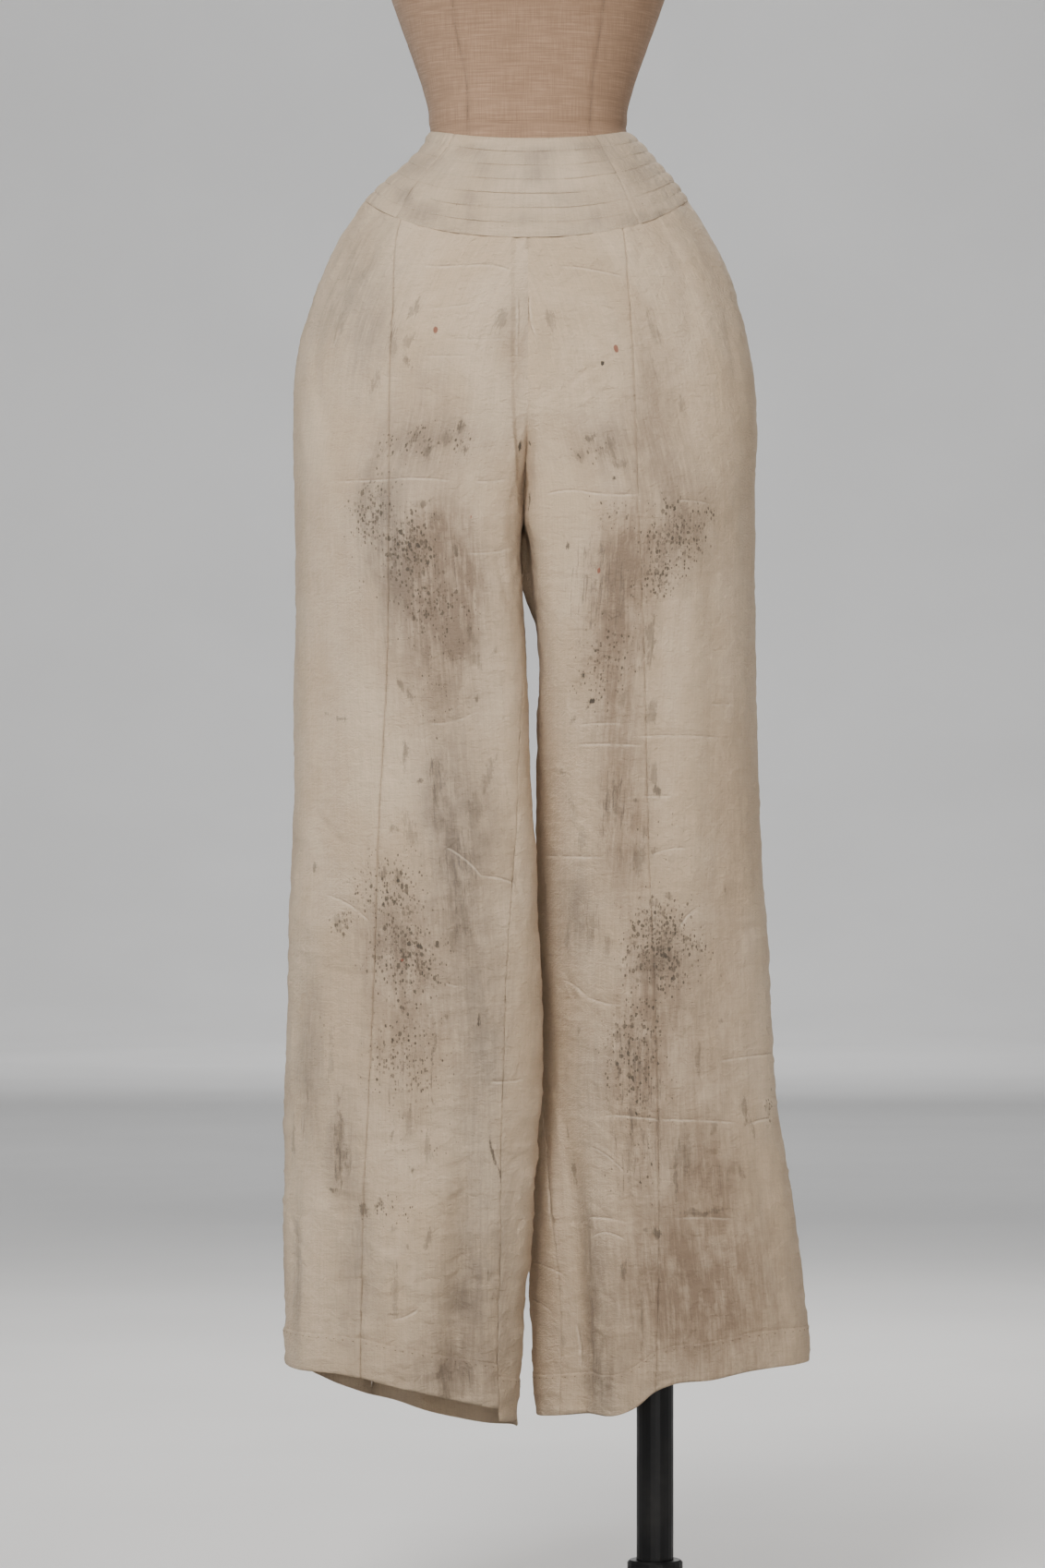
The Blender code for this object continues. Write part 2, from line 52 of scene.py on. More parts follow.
# The solids' sizes
WAIST_Z = 1.300
SEAM_GAP = 0.05 * MM  # closer than the solids, so that no light passes the seam
CLOTH = 1.5 * MM
BODY_GAP = 0.85 * MM
BODY_POWER = 0.88
CROTCH_POWER = 0.70
LEG_OUTER_POWER = 0.85
LEG_INNER_POWER = 1.05
TIP_POWER = 4.5
SEAT_POWER = 0.65
SEAT_TIP_POWER = 9
SEAT_REACH = 0.340
HIP_DROP = 0.100
CROTCH_TOP = 0.240
CROTCH = 0.335
CROTCH_X = -4 * MM
CROTCH_OPENING = 30 * MM
HELD_DROP = 0.385  # down to here the left leg bulges in behind its front edge
CHANNELS = 7
TUCK_STEP = 0.9 * MM
GATHERS = 34
GATHER_DEPTH = 1.7 * MM
GATHER_RISE = 0.12
PINCHED = 0.35
FRONT_BAND_TURNS = {-1: 0.244, 1: 0.190}
WAIST_TURN = 0.250
HEM_DROP = 1.08
TURN_STEP = 1e-3

# Sizes of the looks alone
FOLD_EDGE_X = -13.2 * MM  # of the pressed fold beside the centre front
HEM_STITCH = 8.4 * MM  # from one stitch of the hem to the next
SHELL = 0.9 * MM  # thickness of the shown cloth
BAND_SHELL = 1.0 * MM  # and of the waistband's
SHARP = math.radians(60)  # edges bent more than this are shaded as sharp
USUAL_WIDTH = 0.17  # of a leg's cut piece
COLUMNS = {"front": 80, "side": 116, "back": 84}
ROWS = {"front": (140, 400, 24), "side": (120, 350, 22), "back": (90, 262, 20)}
FAR = 9.0  # stands for no distance worth counting
CREASE_DEPTH = 0.15 * MM  # what one step of a crease's depth stands for
PRESSED_POWER = 1.45  # a crease of a lower power also gets painted shade along it and a painted highlight below
PRESSED_BAND = 16  # millimetres across a pressed crease that its painted shade and highlight layer spans
CRINKLES = 420  # short creases on each leg
FRONT_SEAM_END = 0.122  # where the centre front's seam goes under the pressed fold
THREAD_SIDES = 5
# Pitch, unevenness, length and thread radius of the stitches
STITCHES = {
    "form": (3.6 * MM, 0.06, 2.3 * MM, 0.22 * MM),
    "hem": (HEM_STITCH, 0.12, 1.4 * MM, 0.32 * MM),
    "band": (2.7 * MM, 0.05, 1.5 * MM, 0.17 * MM),
}
FORM_COLUMNS = 240
FLOOR_FLAT, FLOOR_BEND, FLOOR_TOP = 11.5, 4.0, 8.0
# Along a stitch: share of its length, lift and thickness in thread radii
THREAD_RINGS = ((-0.5, -0.5, 0.7), (-0.3, 0.35, 1), (0, 0.75, 1), (0.3, 0.35, 1), (0.5, -0.5, 0.7))
CAMERA_DISTANCE = 5.0
BAND_NEAR = 0.984  # how much nearer to the middle a place on the waistband is than it is shown
PICTURE = 1.358  # height of the photograph at the garment


def table(columns, *rows, unit=MM):
    """Named columns of numbers, in millimetres unless another unit is given."""
    return dict(zip(columns.split(), np.array(rows, float).T * unit))


def rows_of(columns):
    return list(zip(*columns.values()))


BODY = table(
    "drop right left front back",
    (0, 85, 86, 72, 76),
    (12, 91, 99, 77, 82),
    (28, 106, 113, 85, 92),
    (44, 125, 127, 93, 102),
    (60, 141, 138, 100, 111),
    (76, 152, 149, 105, 118),
    (92, 163, 159, 109, 124),
    (108, 171, 167, 112, 129),
    (124, 178, 174, 114, 133),
    (156, 190, 184, 117, 139),
    (188, 199, 191, 118, 142),
    (212, 202, 195, 118, 143),
    (250, 203, 197, 117, 142),
    (345, 201, 197, 112, 134),
)
RIGHT_LEG = table(
    "drop outer inner front back tip",
    (240, -203, -8, -118, 143, -56),
    (335, -201, -7, -116, 135, -72),
    (404, -201, -4, -114, 128, -74),
    (444, -202, -1, -112, 124, -73),
    (564, -204, 2, -105, 109, -64),
    (684, -206, 10, -98, 96, -50),
    (804, -208, 13.5, -94, 86, -42),
    (884, -210, 8, -92, 80, -38),
    (964, -211, 2, -91, 76, -33),
    (1036, -211, -5, -90, 74, -28),
    (1125, -206, -11, -90, 72, -25),
)
LEFT_LEG = table(
    "drop outer inner front back tip",
    (240, 197, 0, -118, 143, -56),
    (335, 197, 0, -116, 135, -72),
    (404, 197, 5, -113, 127, -68),
    (444, 198, 8, -110, 122, -60),
    (564, 201, 6, -101, 105, -10),
    (684, 206, 5, -90, 90, 14),
    (804, 214, 8, -80, 76, 18),
    (884, 222, 4, -74, 68, 18),
    (964, 233, 1, -68, 60, 14),
    (1036, 242, 4, -64, 54, 10),
    (1125, 243, 8, -62, 50, 6),
)
LEG = {-1: RIGHT_LEG, 1: LEFT_LEG}
RIGHT_SEAMS = table(
    "drop front back",
    (0, -59, -59),
    (76, -106, -100),
    (164, -115, -112),
    (345, -118, -116),
    (444, -119, -118),
    (604, -127, -122),
    (804, -134, -128),
    (1000, -144, -134),
    (1125, -143, -138),
)
LEFT_SEAMS = table(
    "drop front back",
    (0, 44, 59),
    (76, 77, 98),
    (156, 86, 108),
    (345, 94, 112),
    (444, 98, 114),
    (604, 102, 118),
    (804, 110, 122),
    (1000, 111, 126),
    (1125, 108, 128),
)
SEAMS = {-1: RIGHT_SEAMS, 1: LEFT_SEAMS}
INSEAMS = {
    -1: table(
        "drop turn",
        (335, 0),
        (600, 85),
        (720, 120),
        (1000, 107),
        (1125, 90),
    ),
    1: table(
        "drop turn",
        (335, 0),
        (600, 20),
        (840, 55),
        (960, 95),
        (1125, 90),
    ),
}
# The strip is the part of a back piece that comes round to the front, and the last column is how
# deep the hem is turned up.
RIGHT_HEM = table(
    "x front strip back turned",
    (-212, 1064, 1064, 1064, 33),
    (-190, 1065, 1065, 1076, 32),
    (-168, 1065.5, 1065.5, 1088, 32),
    (-145, 1069.5, 1069.5, 1096.5, 33),
    (-118, 1075.5, 1090, 1103.5, 34),
    (-93, 1081, 1098, 1110, 35),
    (-61, 1089, 1104, 1117.5, 36),
    (-26, 1097, 1108, 1120, 37.5),
    (-5, 1101, 1111, 1116, 36),
)
LEFT_HEM = table(
    "x front strip back turned",
    (5, 1110, 1110, 1108, 35),
    (50, 1104.5, 1104.5, 1098, 35),
    (80, 1103, 1103, 1092, 35),
    (94, 1096, 1096, 1088, 36),
    (108, 1084, 1084, 1083, 35),
    (120, 1078.5, 1078.5, 1079, 33),
    (160, 1073, 1073, 1075, 33),
    (190, 1066.5, 1066.5, 1072, 32),
    (243, 1062, 1062, 1063, 31),
)
HEM = {-1: RIGHT_HEM, 1: LEFT_HEM}
FRONT, BACK = -1, 1
# Long folds, by side and face
FOLDS = table(
    "side face top_x top_drop foot_x foot_drop width depth",
    (-1, -1, -44, 780, -64, 1130, 17, -11),
    (-1, -1, -150, 900, -138, 1130, 15, -6),
    (-1, -1, -168, 300, -176, 620, 18, -4),
    (-1, 1, -70, 330, -92, 1140, 20, -10),
    (-1, 1, -148, 420, -150, 1140, 17, -7),
    (1, -1, 30, 820, 44, 1130, 13, -12),
    (1, -1, 72, 900, 82, 1130, 15, 6),
    (1, -1, 158, 250, 166, 700, 18, -5),
    (1, 1, 72, 330, 84, 1140, 20, -9),
    (1, 1, 150, 480, 176, 1140, 18, -7),
)
TORSO = table(
    "rise half front back",
    (0, 83, 71, 75),
    (5, 85, 73, 77),
    (18, 86, 74, 78),
    (38, 91, 77, 80),
    (76, 104, 84, 84),
    (115, 118, 95, 88),
    (150, 129, 109, 91),
    (182, 136, 117, 94),
    (214, 139, 118, 95),
    (250, 144, 111, 98),
    (292, 152, 95, 97),
    (325, 157, 80, 90),
    (341, 145, 72, 83),
    (354, 118, 65, 75),
    (366, 90, 59, 67),
    (380, 68, 55, 60),
    (396, 58, 53, 56),
    (436, 56, 52, 54),
)
TORSO_INSET = table(
    "drop inset",
    (0, 0),
    (60, 0),
    (120, 7),
    (200, 13),
    (240, 18),
)
TORSO_BOTTOM = 0.240
ROUNDING = 0.024

# Creases of the front, by the ends that the photograph shows, in its pixels. Width is in
# millimetres, depth in steps of CREASE_DEPTH, and a low power makes a sharp, pressed crease with
# painted shade along it and a painted highlight below.
CREASES = table(
    "x0 y0 x1 y1 bow width depth power",
    (461, 285, 503, 285, 1, 1.3, -7, 1.2),
    (505, 286, 552, 291, -3, 1.3, -6, 1.2),
    (468, 332, 508, 328, 1, 1.2, -4, 1.3),
    (484, 365, 545, 366, 1, 1.3, -3, 1.3),
    (461, 384, 503, 384, 0, 1.2, -4, 1.3),
    (368, 309, 408, 262, 6, 7, -12, 2),
    (350, 300, 372, 262, 5, 6, 8, 2),
    (384, 330, 396, 420, 5, 7, -7, 2),
    (340, 360, 352, 470, 4, 6, -9, 2),
    (562, 324, 562, 388, -2, 1.2, -7, 1.4),
    (567, 322, 578, 362, -3, 1.4, -7, 1.4),
    (594, 340, 596, 392, 2, 1.5, -5, 1.5),
    (608, 287, 670, 296, 2, 1.3, -7, 1.2),
    (706, 320, 711, 366, 3, 1.6, -7, 1.5),
    (693, 285, 701, 262, 2, 2.5, -7, 1.8),
    (752, 236, 800, 420, 5, 9, -9, 2),
    (722, 250, 748, 372, 6, 7, -8, 2),
    (615, 420, 643, 396, 2, 1.8, -7, 1.5),
    (624, 440, 655, 415, -2, 2.2, 5, 1.8),
    (640, 402, 672, 380, 2, 1.6, -4, 1.5),
    (720, 420, 742, 395, 2, 2, -6, 1.6),
    (363, 518, 428, 517, 1, 1.3, -9, 1.1),
    (428, 517, 484, 519, -1, 1.3, -8, 1.1),
    (516, 520, 546, 518, 1, 1.3, -7, 1.2),
    (594, 533, 626, 530, 1, 1.3, -7, 1.2),
    (626, 530, 688, 534, -2, 1.3, -8, 1.2),
    (736, 540, 770, 543, 1, 1.4, -6, 1.3),
    (508, 598, 553, 592, 2, 1.5, -5, 1.4),
    (541, 598, 554, 660, 3, 3, -9, 1.8),
    (518, 602, 533, 684, -3, 3, -6, 2),
    (465, 782, 509, 773, 3, 1.8, -7, 1.4),
    (492, 766, 512, 786, 3, 2, 6, 1.6),
    (440, 798, 470, 806, -3, 2, -5, 1.6),
    (630, 784, 670, 782, 1, 1.4, -6, 1.2),
    (628, 805, 694, 806, 1, 1.3, -8, 1.1),
    (696, 796, 780, 797, 1, 1.4, -7, 1.2),
    (776, 761, 798, 761, 0, 1.5, -5, 1.4),
    (800, 798, 819, 806, 2, 2, -6, 1.6),
    (697, 861, 726, 861, 0, 1.3, -6, 1.2),
    (331, 847, 349, 849, 1, 1.8, -7, 1.5),
    (338, 880, 372, 916, 3, 3.5, -8, 1.8),
    (316, 967, 352, 969, -2, 2.2, -9, 1.5),
    (352, 969, 398, 995, -4, 2.4, -9, 1.4),
    (327, 1043, 408, 1055, 3, 2.5, -7, 1.6),
    (320, 1026, 366, 1034, 3, 2.5, 6, 1.8),
    (484, 916, 522, 947, -3, 1.8, -9, 1.3),
    (522, 947, 560, 957, -2, 2, -8, 1.4),
    (484, 1063, 502, 1067, 1, 1.6, -6, 1.4),
    (508, 1030, 549, 1026, 2, 2, -6, 1.6),
    (533, 1171, 581, 1169, 1, 1.3, -8, 1.2),
    (536, 1080, 552, 1098, 3, 2.2, -7, 1.5),
    (556, 900, 571, 985, 3, 2.5, -8, 1.8),
    (592, 927, 649, 927, 0, 1.2, -9, 1.1),
    (611, 1062, 636, 1079, 2, 1.6, -8, 1.3),
    (636, 1079, 671, 1087, -2, 1.8, -7, 1.4),
    (706, 924, 741, 917, 2, 1.5, -6, 1.4),
    (736, 1002, 755, 983, 2, 1.5, -7, 1.4),
    (783, 1148, 842, 1144, 2, 1.8, -7, 1.4),
    (800, 1010, 828, 1004, 3, 2.4, -6, 1.7),
    (804, 1052, 832, 1044, 3, 2.4, -6, 1.7),
    (660, 1207, 712, 1211, 1, 1.3, -9, 1.1),
    (712, 1211, 793, 1215, 1, 1.4, -8, 1.1),
    (814, 1217, 838, 1213, 1, 1.6, -8, 1.3),
    (643, 1243, 675, 1266, 3, 1.8, 8, 1.3),
    (636, 1319, 677, 1322, 2, 1.6, -8, 1.3),
    (643, 1338, 675, 1340, 5, 1.8, -8, 1.3),
    (658, 1308, 676, 1294, 2, 1.8, 6, 1.5),
    (735, 1318, 790, 1319, 1, 1.4, -5, 1.3),
    (394, 1340, 424, 1362, 3, 2.4, 9, 1.5),
    (424, 1362, 434, 1356, 2, 2, 7, 1.6),
    (459, 1355, 476, 1378, -3, 2.2, 9, 1.5),
    (476, 1378, 497, 1375, 3, 2, 8, 1.5),
    (432, 1381, 471, 1402, 4, 2.2, 8, 1.6),
    (430, 1398, 462, 1412, 3, 2.2, -8, 1.6),
    (426, 1428, 452, 1417, 2, 2, -9, 1.4),
    (486, 1317, 513, 1325, 2, 2, -7, 1.5),
    (442, 1270, 470, 1262, 3, 2.4, -6, 1.7),
    (491, 1266, 506, 1275, 2, 2, 6, 1.6),
    (562, 1304, 573, 1297, 1, 2.6, 9, 1.6),
    (556, 1340, 574, 1322, 3, 2.4, -7, 1.7),
    (314, 1452, 334, 1467, 2, 2, -8, 1.5),
    (312, 1318, 326, 1354, 4, 3.5, -9, 1.8),
    (324, 1352, 330, 1420, -3, 4, 8, 2),
    (354, 1374, 384, 1360, 3, 3, -6, 1.8),
    (579, 1373, 606, 1384, 3, 2, -8, 1.4),
    (579, 1414, 596, 1424, 2, 2, -8, 1.4),
    (643, 1434, 661, 1448, 2, 2, 8, 1.5),
    (604, 1476, 622, 1466, 2, 2.4, -7, 1.6),
    (591, 1232, 596, 1328, 1, 1.5, -9, 1.4),
    (631, 1312, 634, 1464, 2, 3, -8, 1.8),
    (637, 1460, 637, 1526, 0, 2.2, -14, 1.5),
    (655, 1470, 660, 1528, -2, 3, 9, 1.8),
    (618, 1440, 622, 1482, 1, 1.8, -8, 1.4),
    (604, 1210, 607, 1330, 2, 3, 6, 2),
    (500, 1440, 512, 1518, 3, 5, -8, 2),
    (470, 1450, 476, 1512, -2, 5, 7, 2),
    (820, 1250, 846, 1440, 6, 8, -10, 2),
    (752, 1240, 764, 1450, 5, 11, -8, 2),
    unit=1,
)

# Marks with a clear edge: middle, half sizes and lean, in the photograph's pixels. Tone is from
# 0 to 1.
MARKS = table(
    "x y wide tall lean tone",
    (448, 332, 5, 12, 0, 0.45),
    (442, 366, 6, 9, 2, 0.4),
    (425, 372, 5, 15, -2, 0.4),
    (366, 348, 6, 19, 2, 0.3),
    (543, 346, 6, 11, 0, 0.4),
    (596, 348, 5, 11, 0, 0.4),
    (404, 414, 5, 9, 2, 0.42),
    (440, 391, 4, 8, -4, 0.5),
    (706, 352, 5, 16, 0, 0.3),
    (738, 438, 4, 9, 0, 0.4),
    (450, 473, 5, 9, 0, 0.55),
    (465, 486, 7, 7, 2, 0.5),
    (499, 464, 4, 8, 0, 0.6),
    (484, 476, 6, 9, -2, 0.45),
    (504, 486, 3, 4, 0, 0.6),
    (411, 491, 2.5, 3, 0, 0.5),
    (640, 472, 4.5, 6, 2, 0.6),
    (628, 497, 7, 8, 0, 0.4),
    (659, 484, 7, 11, 3, 0.42),
    (674, 503, 8, 6, -3, 0.5),
    (457, 545, 7, 6, 0, 0.55),
    (495, 597, 2.2, 7, 0, 0.6),
    (470, 562, 5, 7, 0, 0.4),
    (436, 655, 6, 10, -3, 0.35),
    (508, 686, 5, 15, -4, 0.4),
    (517, 716, 5, 9, -3, 0.38),
    (537, 702, 2.6, 6, 1, 0.4),
    (704, 692, 5, 27, 1, 0.5),
    (705, 772, 6, 12, 2, 0.45),
    (674, 760, 3.5, 11, 2, 0.4),
    (623, 778, 3, 7, 4, 0.4),
    (438, 748, 3.5, 11, -5, 0.5),
    (439, 818, 4.5, 16, 3, 0.5),
    (517, 753, 2.2, 6, 1, 0.55),
    (368, 777, 7, 2.6, 0, 0.5),
    (350, 773, 3, 1.8, 0, 0.55),
    (474, 846, 6, 21, 0, 0.4),
    (445, 902, 7, 22, 0, 0.38),
    (428, 900, 3, 4, 0, 0.5),
    (529, 838, 4, 16, 7, 0.42),
    (515, 880, 8, 20, 5, 0.36),
    (454, 846, 2.4, 2.2, 0, 0.6),
    (398, 919, 2.2, 2.4, 0, 0.6),
    (380, 938, 2, 2.2, 0, 0.6),
    (416, 946, 4.2, 5, 0, 0.55),
    (432, 952, 5, 6.5, 0, 0.5),
    (336, 943, 2.2, 4, 0, 0.55),
    (444, 986, 2.4, 2.8, 0, 0.55),
    (437, 999, 2.8, 3, 0, 0.7),
    (396, 973, 1.6, 26, -34, 0.55),
    (366, 998, 6, 8, -2, 0.4),
    (433, 1018, 9, 13, 0, 0.3),
    (472, 1026, 3, 1.8, 0, 0.55),
    (462, 1055, 4.5, 4.5, 0, 0.45),
    (518, 1106, 1.8, 5, 1, 0.75),
    (483, 1101, 2.4, 3.6, 0, 0.5),
    (469, 1150, 1.8, 42, 2, 0.5),
    (358, 1149, 4, 32, 2, 0.32),
    (494, 946, 4, 28, -5, 0.38),
    (503, 995, 4.5, 22, -3, 0.4),
    (491, 1012, 4, 15, 0, 0.4),
    (707, 836, 5, 13, 0, 0.45),
    (711, 853, 4.5, 4, 0, 0.6),
    (689, 869, 3.4, 2.6, 0, 0.5),
    (696, 903, 3.4, 7, 0, 0.45),
    (693, 930, 7, 15, 2, 0.45),
    (709, 925, 3, 4.6, 0, 0.5),
    (740, 944, 2.2, 2.4, 0, 0.6),
    (709, 977, 4.8, 5.4, 0, 0.5),
    (724, 972, 4.4, 4.4, 0, 0.5),
    (610, 834, 3.2, 7.5, -2, 0.35),
    (667, 866, 4, 21, 2, 0.4),
    (658, 868, 2.4, 20, 0, 0.35),
    (631, 908, 8, 11, 0, 0.33),
    (621, 880, 5, 18, -4, 0.28),
    (641, 1004, 6, 26, 4, 0.3),
    (614, 1014, 5, 18, 1, 0.3),
    (657, 1026, 5, 11, 1, 0.38),
    (722, 1030, 7, 22, 9, 0.36),
    (711, 1050, 6, 18, 5, 0.3),
    (755, 1025, 4, 7, 2, 0.45),
    (698, 1046, 8, 18, 0, 0.24),
    (667, 1125, 5, 5.5, 0, 0.45),
    (681, 1132, 3.4, 5.4, 0, 0.5),
    (627, 1118, 2.2, 3.4, 0, 0.45),
    (757, 1150, 3, 16, 0, 0.42),
    (781, 1106, 2.6, 2.6, 0, 0.45),
    (790, 965, 2.4, 3.4, 0, 0.55),
    (781, 1057, 2.6, 1.8, 2, 0.55),
    (369, 1242, 5, 42, 1, 0.5),
    (378, 1256, 3, 17, 0, 0.45),
    (316, 1240, 3.4, 24, 1, 0.42),
    (358, 1290, 9, 2.2, 0, 0.6),
    (393, 1309, 4.5, 8, 0, 0.6),
    (411, 1308, 4.6, 5, 0, 0.5),
    (443, 1215, 6, 15, 1, 0.35),
    (464, 1240, 4, 15, 0, 0.4),
    (445, 1267, 2.2, 4.2, 0, 0.55),
    (464, 1341, 3.4, 12, 2, 0.45),
    (442, 1352, 2.6, 2.6, 0, 0.45),
    (426, 1331, 3, 3, 0, 0.4),
    (429, 1404, 3, 24, 0, 0.36),
    (426, 1425, 6, 2, 0, 0.45),
    (505, 1402, 10, 22, 0, 0.18),
    (532, 1385, 2.4, 5, 0, 0.42),
    (482, 1494, 8, 20, -2, 0.36),
    (508, 1494, 8, 20, 2, 0.33),
    (425, 1222, 1.5, 17, 1, 0.5),
    (538, 1256, 1.6, 20, -5, 0.65),
    (734, 1266, 3.2, 32, 2, 0.5),
    (742, 1247, 7, 20, 0, 0.38),
    (762, 1313, 26, 2.4, -5, 0.5),
    (808, 1205, 5, 13, 1, 0.5),
    (818, 1227, 2, 14, -2, 0.5),
    (836, 1202, 3, 14, -4, 0.42),
    (775, 1222, 3.4, 8, 0, 0.42),
    (804, 1273, 2.6, 7, 0, 0.45),
    (793, 1269, 8, 7, 2, 0.3),
    (683, 1250, 4.6, 30, 1, 0.4),
    (686, 1216, 4, 7, 1, 0.45),
    (617, 1272, 3.2, 15, 1, 0.5),
    (613, 1234, 1.6, 10, 0, 0.5),
    (711, 1333, 4.6, 6.5, 0, 0.65),
    (702, 1331, 3, 3.4, 0, 0.5),
    (678, 1372, 3, 13, 1, 0.5),
    (695, 1432, 1.8, 28, 1, 0.42),
    (652, 1496, 13, 24, 0, 0.16),
    (606, 1458, 3, 8, 0, 0.3),
    (574, 482, 2, 3, 0, 0.75),
    (562, 481, 2, 4, 0, 0.8),
    (574, 542, 3, 6, 1, 0.75),
    (572, 552, 2.4, 2.6, 0, 0.75),
    (653, 395, 2, 2.4, 1, 1),
    (665, 521, 2, 2, 0, 1),
    (633, 732, 2.2, 3, 0, 1),
    (641, 761, 2.2, 3.4, 2, 0.95),
    (615, 587, 2, 4, 0, 0.75),
    unit=1,
)
# Soft washes: stains, and painted shade in the rows marked so. Hue runs from -1, bluish grey, to 1,
# warm brown.
WASHES_AND_SHADE = table(
    "x y wide tall amount hue",
    # Painted shade: these two rows are cool shade on the right hip
    (375, 300, 36, 76, 0.32, -0.6),
    (398, 360, 28, 70, 0.28, -0.5),
    (403, 548, 30, 62, 0.36, -0.5),
    (425, 600, 22, 56, 0.30, -0.4),
    (476, 600, 36, 60, 0.50, 0.4),
    (492, 640, 28, 74, 0.40, 0.3),
    (455, 690, 55, 70, 0.28, 0.2),
    (470, 480, 60, 34, 0.36, 0.0),
    (455, 430, 40, 50, 0.18, 0.1),
    (560, 350, 26, 60, 0.22, 0.2),
    (520, 880, 24, 60, 0.30, -0.3),
    (478, 880, 22, 70, 0.34, -0.3),
    (498, 955, 30, 76, 0.36, -0.2),
    # Painted shade down a fold of the right leg
    (520, 1100, 30, 90, 0.24, -0.7),
    (440, 1110, 50, 100, 0.32, 0.4),
    (425, 1010, 46, 56, 0.30, 0.2),
    # Painted shade along the right leg's outer edge
    (335, 1150, 20, 100, 0.34, -0.4),
    (368, 1240, 18, 56, 0.36, -0.1),
    # Painted shade: these two rows lie down folds of the right leg
    (384, 1370, 22, 100, 0.24, -0.8),
    (526, 1300, 28, 150, 0.24, -0.8),
    (505, 1400, 34, 70, 0.24, -0.3),
    (490, 1490, 54, 36, 0.32, 0.0),
    # Painted shade along the right leg's outer edge
    (320, 1380, 8, 90, 0.30, -0.6),
    (680, 606, 34, 68, 0.48, 0.45),
    (664, 700, 32, 90, 0.40, 0.4),
    (740, 570, 44, 56, 0.42, 0.1),
    (660, 480, 52, 34, 0.34, 0.1),
    (710, 440, 30, 90, 0.28, 0.3),
    (625, 990, 26, 50, 0.34, -0.5),
    (680, 900, 26, 80, 0.42, 0.6),
    (716, 1036, 30, 54, 0.34, 0.1),
    (690, 1160, 36, 120, 0.36, 0.6),
    (765, 1268, 32, 50, 0.32, 0.4),
    (725, 1390, 60, 80, 0.20, 0.4),
    # Painted shade: these two rows lie down a fold of the left leg
    (640, 1170, 26, 80, 0.20, -0.5),
    (640, 1390, 22, 110, 0.24, -0.4),
    (750, 1130, 60, 120, 0.24, 0.5),
    (800, 860, 34, 260, 0.20, 0.5),
    # Painted shade: warm shade over the left leg's lower outer side
    (775, 1400, 100, 120, 0.46, 0.6),
    (484, 760, 38, 90, 0.22, 0.1),
    (668, 800, 30, 90, 0.24, 0.6),
    (560, 640, 260, 90, 0.10, 0.3),
    (560, 1060, 260, 150, 0.08, 0.2),
    (560, 1440, 280, 90, 0.12, 0.2),
    (655, 1496, 30, 34, 0.22, -0.2),
    (552, 560, 5, 140, 0.12, 1.0),
    (558, 430, 10, 90, 0.08, 1.0),
    (592, 1330, 16, 130, 0.14, 0.9),
    (551, 1360, 9, 150, 0.12, 0.7),
    unit=1,
)
# Where small specks and dry streaks lie, and how thickly.
SPECKS = table(
    "x y wide tall amount",
    (405, 556, 30, 46, 0.85),
    (440, 596, 34, 44, 1.0),
    (400, 640, 26, 26, 0.5),
    (380, 560, 14, 60, 0.4),
    (470, 660, 50, 60, 0.65),
    (470, 760, 44, 60, 0.35),
    (450, 478, 50, 24, 0.55),
    (500, 480, 14, 22, 0.5),
    (425, 970, 48, 44, 0.75),
    (440, 1036, 48, 56, 0.85),
    (372, 1000, 22, 16, 0.8),
    (440, 1140, 50, 80, 0.6),
    (350, 1120, 30, 60, 0.3),
    (460, 1240, 50, 60, 0.3),
    (664, 556, 30, 24, 0.5),
    (735, 580, 40, 42, 0.95),
    (715, 620, 22, 36, 1.0),
    (770, 560, 22, 26, 0.5),
    (655, 720, 40, 70, 0.55),
    (690, 640, 20, 60, 0.4),
    (640, 490, 24, 18, 0.5),
    (715, 1026, 46, 56, 0.95),
    (755, 1030, 22, 26, 0.7),
    (690, 1140, 42, 90, 0.7),
    (700, 900, 60, 60, 0.25),
    (690, 1270, 60, 60, 0.32),
    (840, 1200, 14, 30, 0.5),
    (420, 1310, 40, 20, 0.45),
    (570, 800, 270, 620, 0.11),
    unit=1,
)
STREAKS = table(
    "x y wide tall amount",
    (470, 620, 46, 60, 0.7),
    (520, 640, 20, 60, 0.3),
    (448, 440, 16, 40, 0.5),
    (500, 450, 14, 30, 0.5),
    (478, 850, 20, 46, 0.8),
    (500, 950, 26, 60, 0.9),
    (440, 1150, 46, 80, 0.6),
    (368, 1240, 16, 50, 0.8),
    (330, 1180, 20, 90, 0.6),
    (655, 640, 40, 70, 0.9),
    (690, 700, 16, 70, 0.5),
    (700, 400, 20, 70, 0.4),
    (668, 880, 26, 70, 0.9),
    (636, 990, 22, 44, 0.6),
    (690, 1200, 36, 110, 0.9),
    (760, 1260, 34, 40, 0.5),
    (500, 1490, 40, 28, 0.5),
    (655, 1494, 22, 34, 0.42),
    (425, 350, 12, 40, 0.5),
    (705, 350, 12, 40, 0.4),
    unit=1,
)
RUST = table(
    "x y wide tall",
    (470, 360, 2.6, 5),
    (667, 376, 2.4, 5),
    (510, 561, 2, 2.2),
    (649, 619, 2.2, 4),
    (434, 1041, 3, 2),
    unit=1,
)
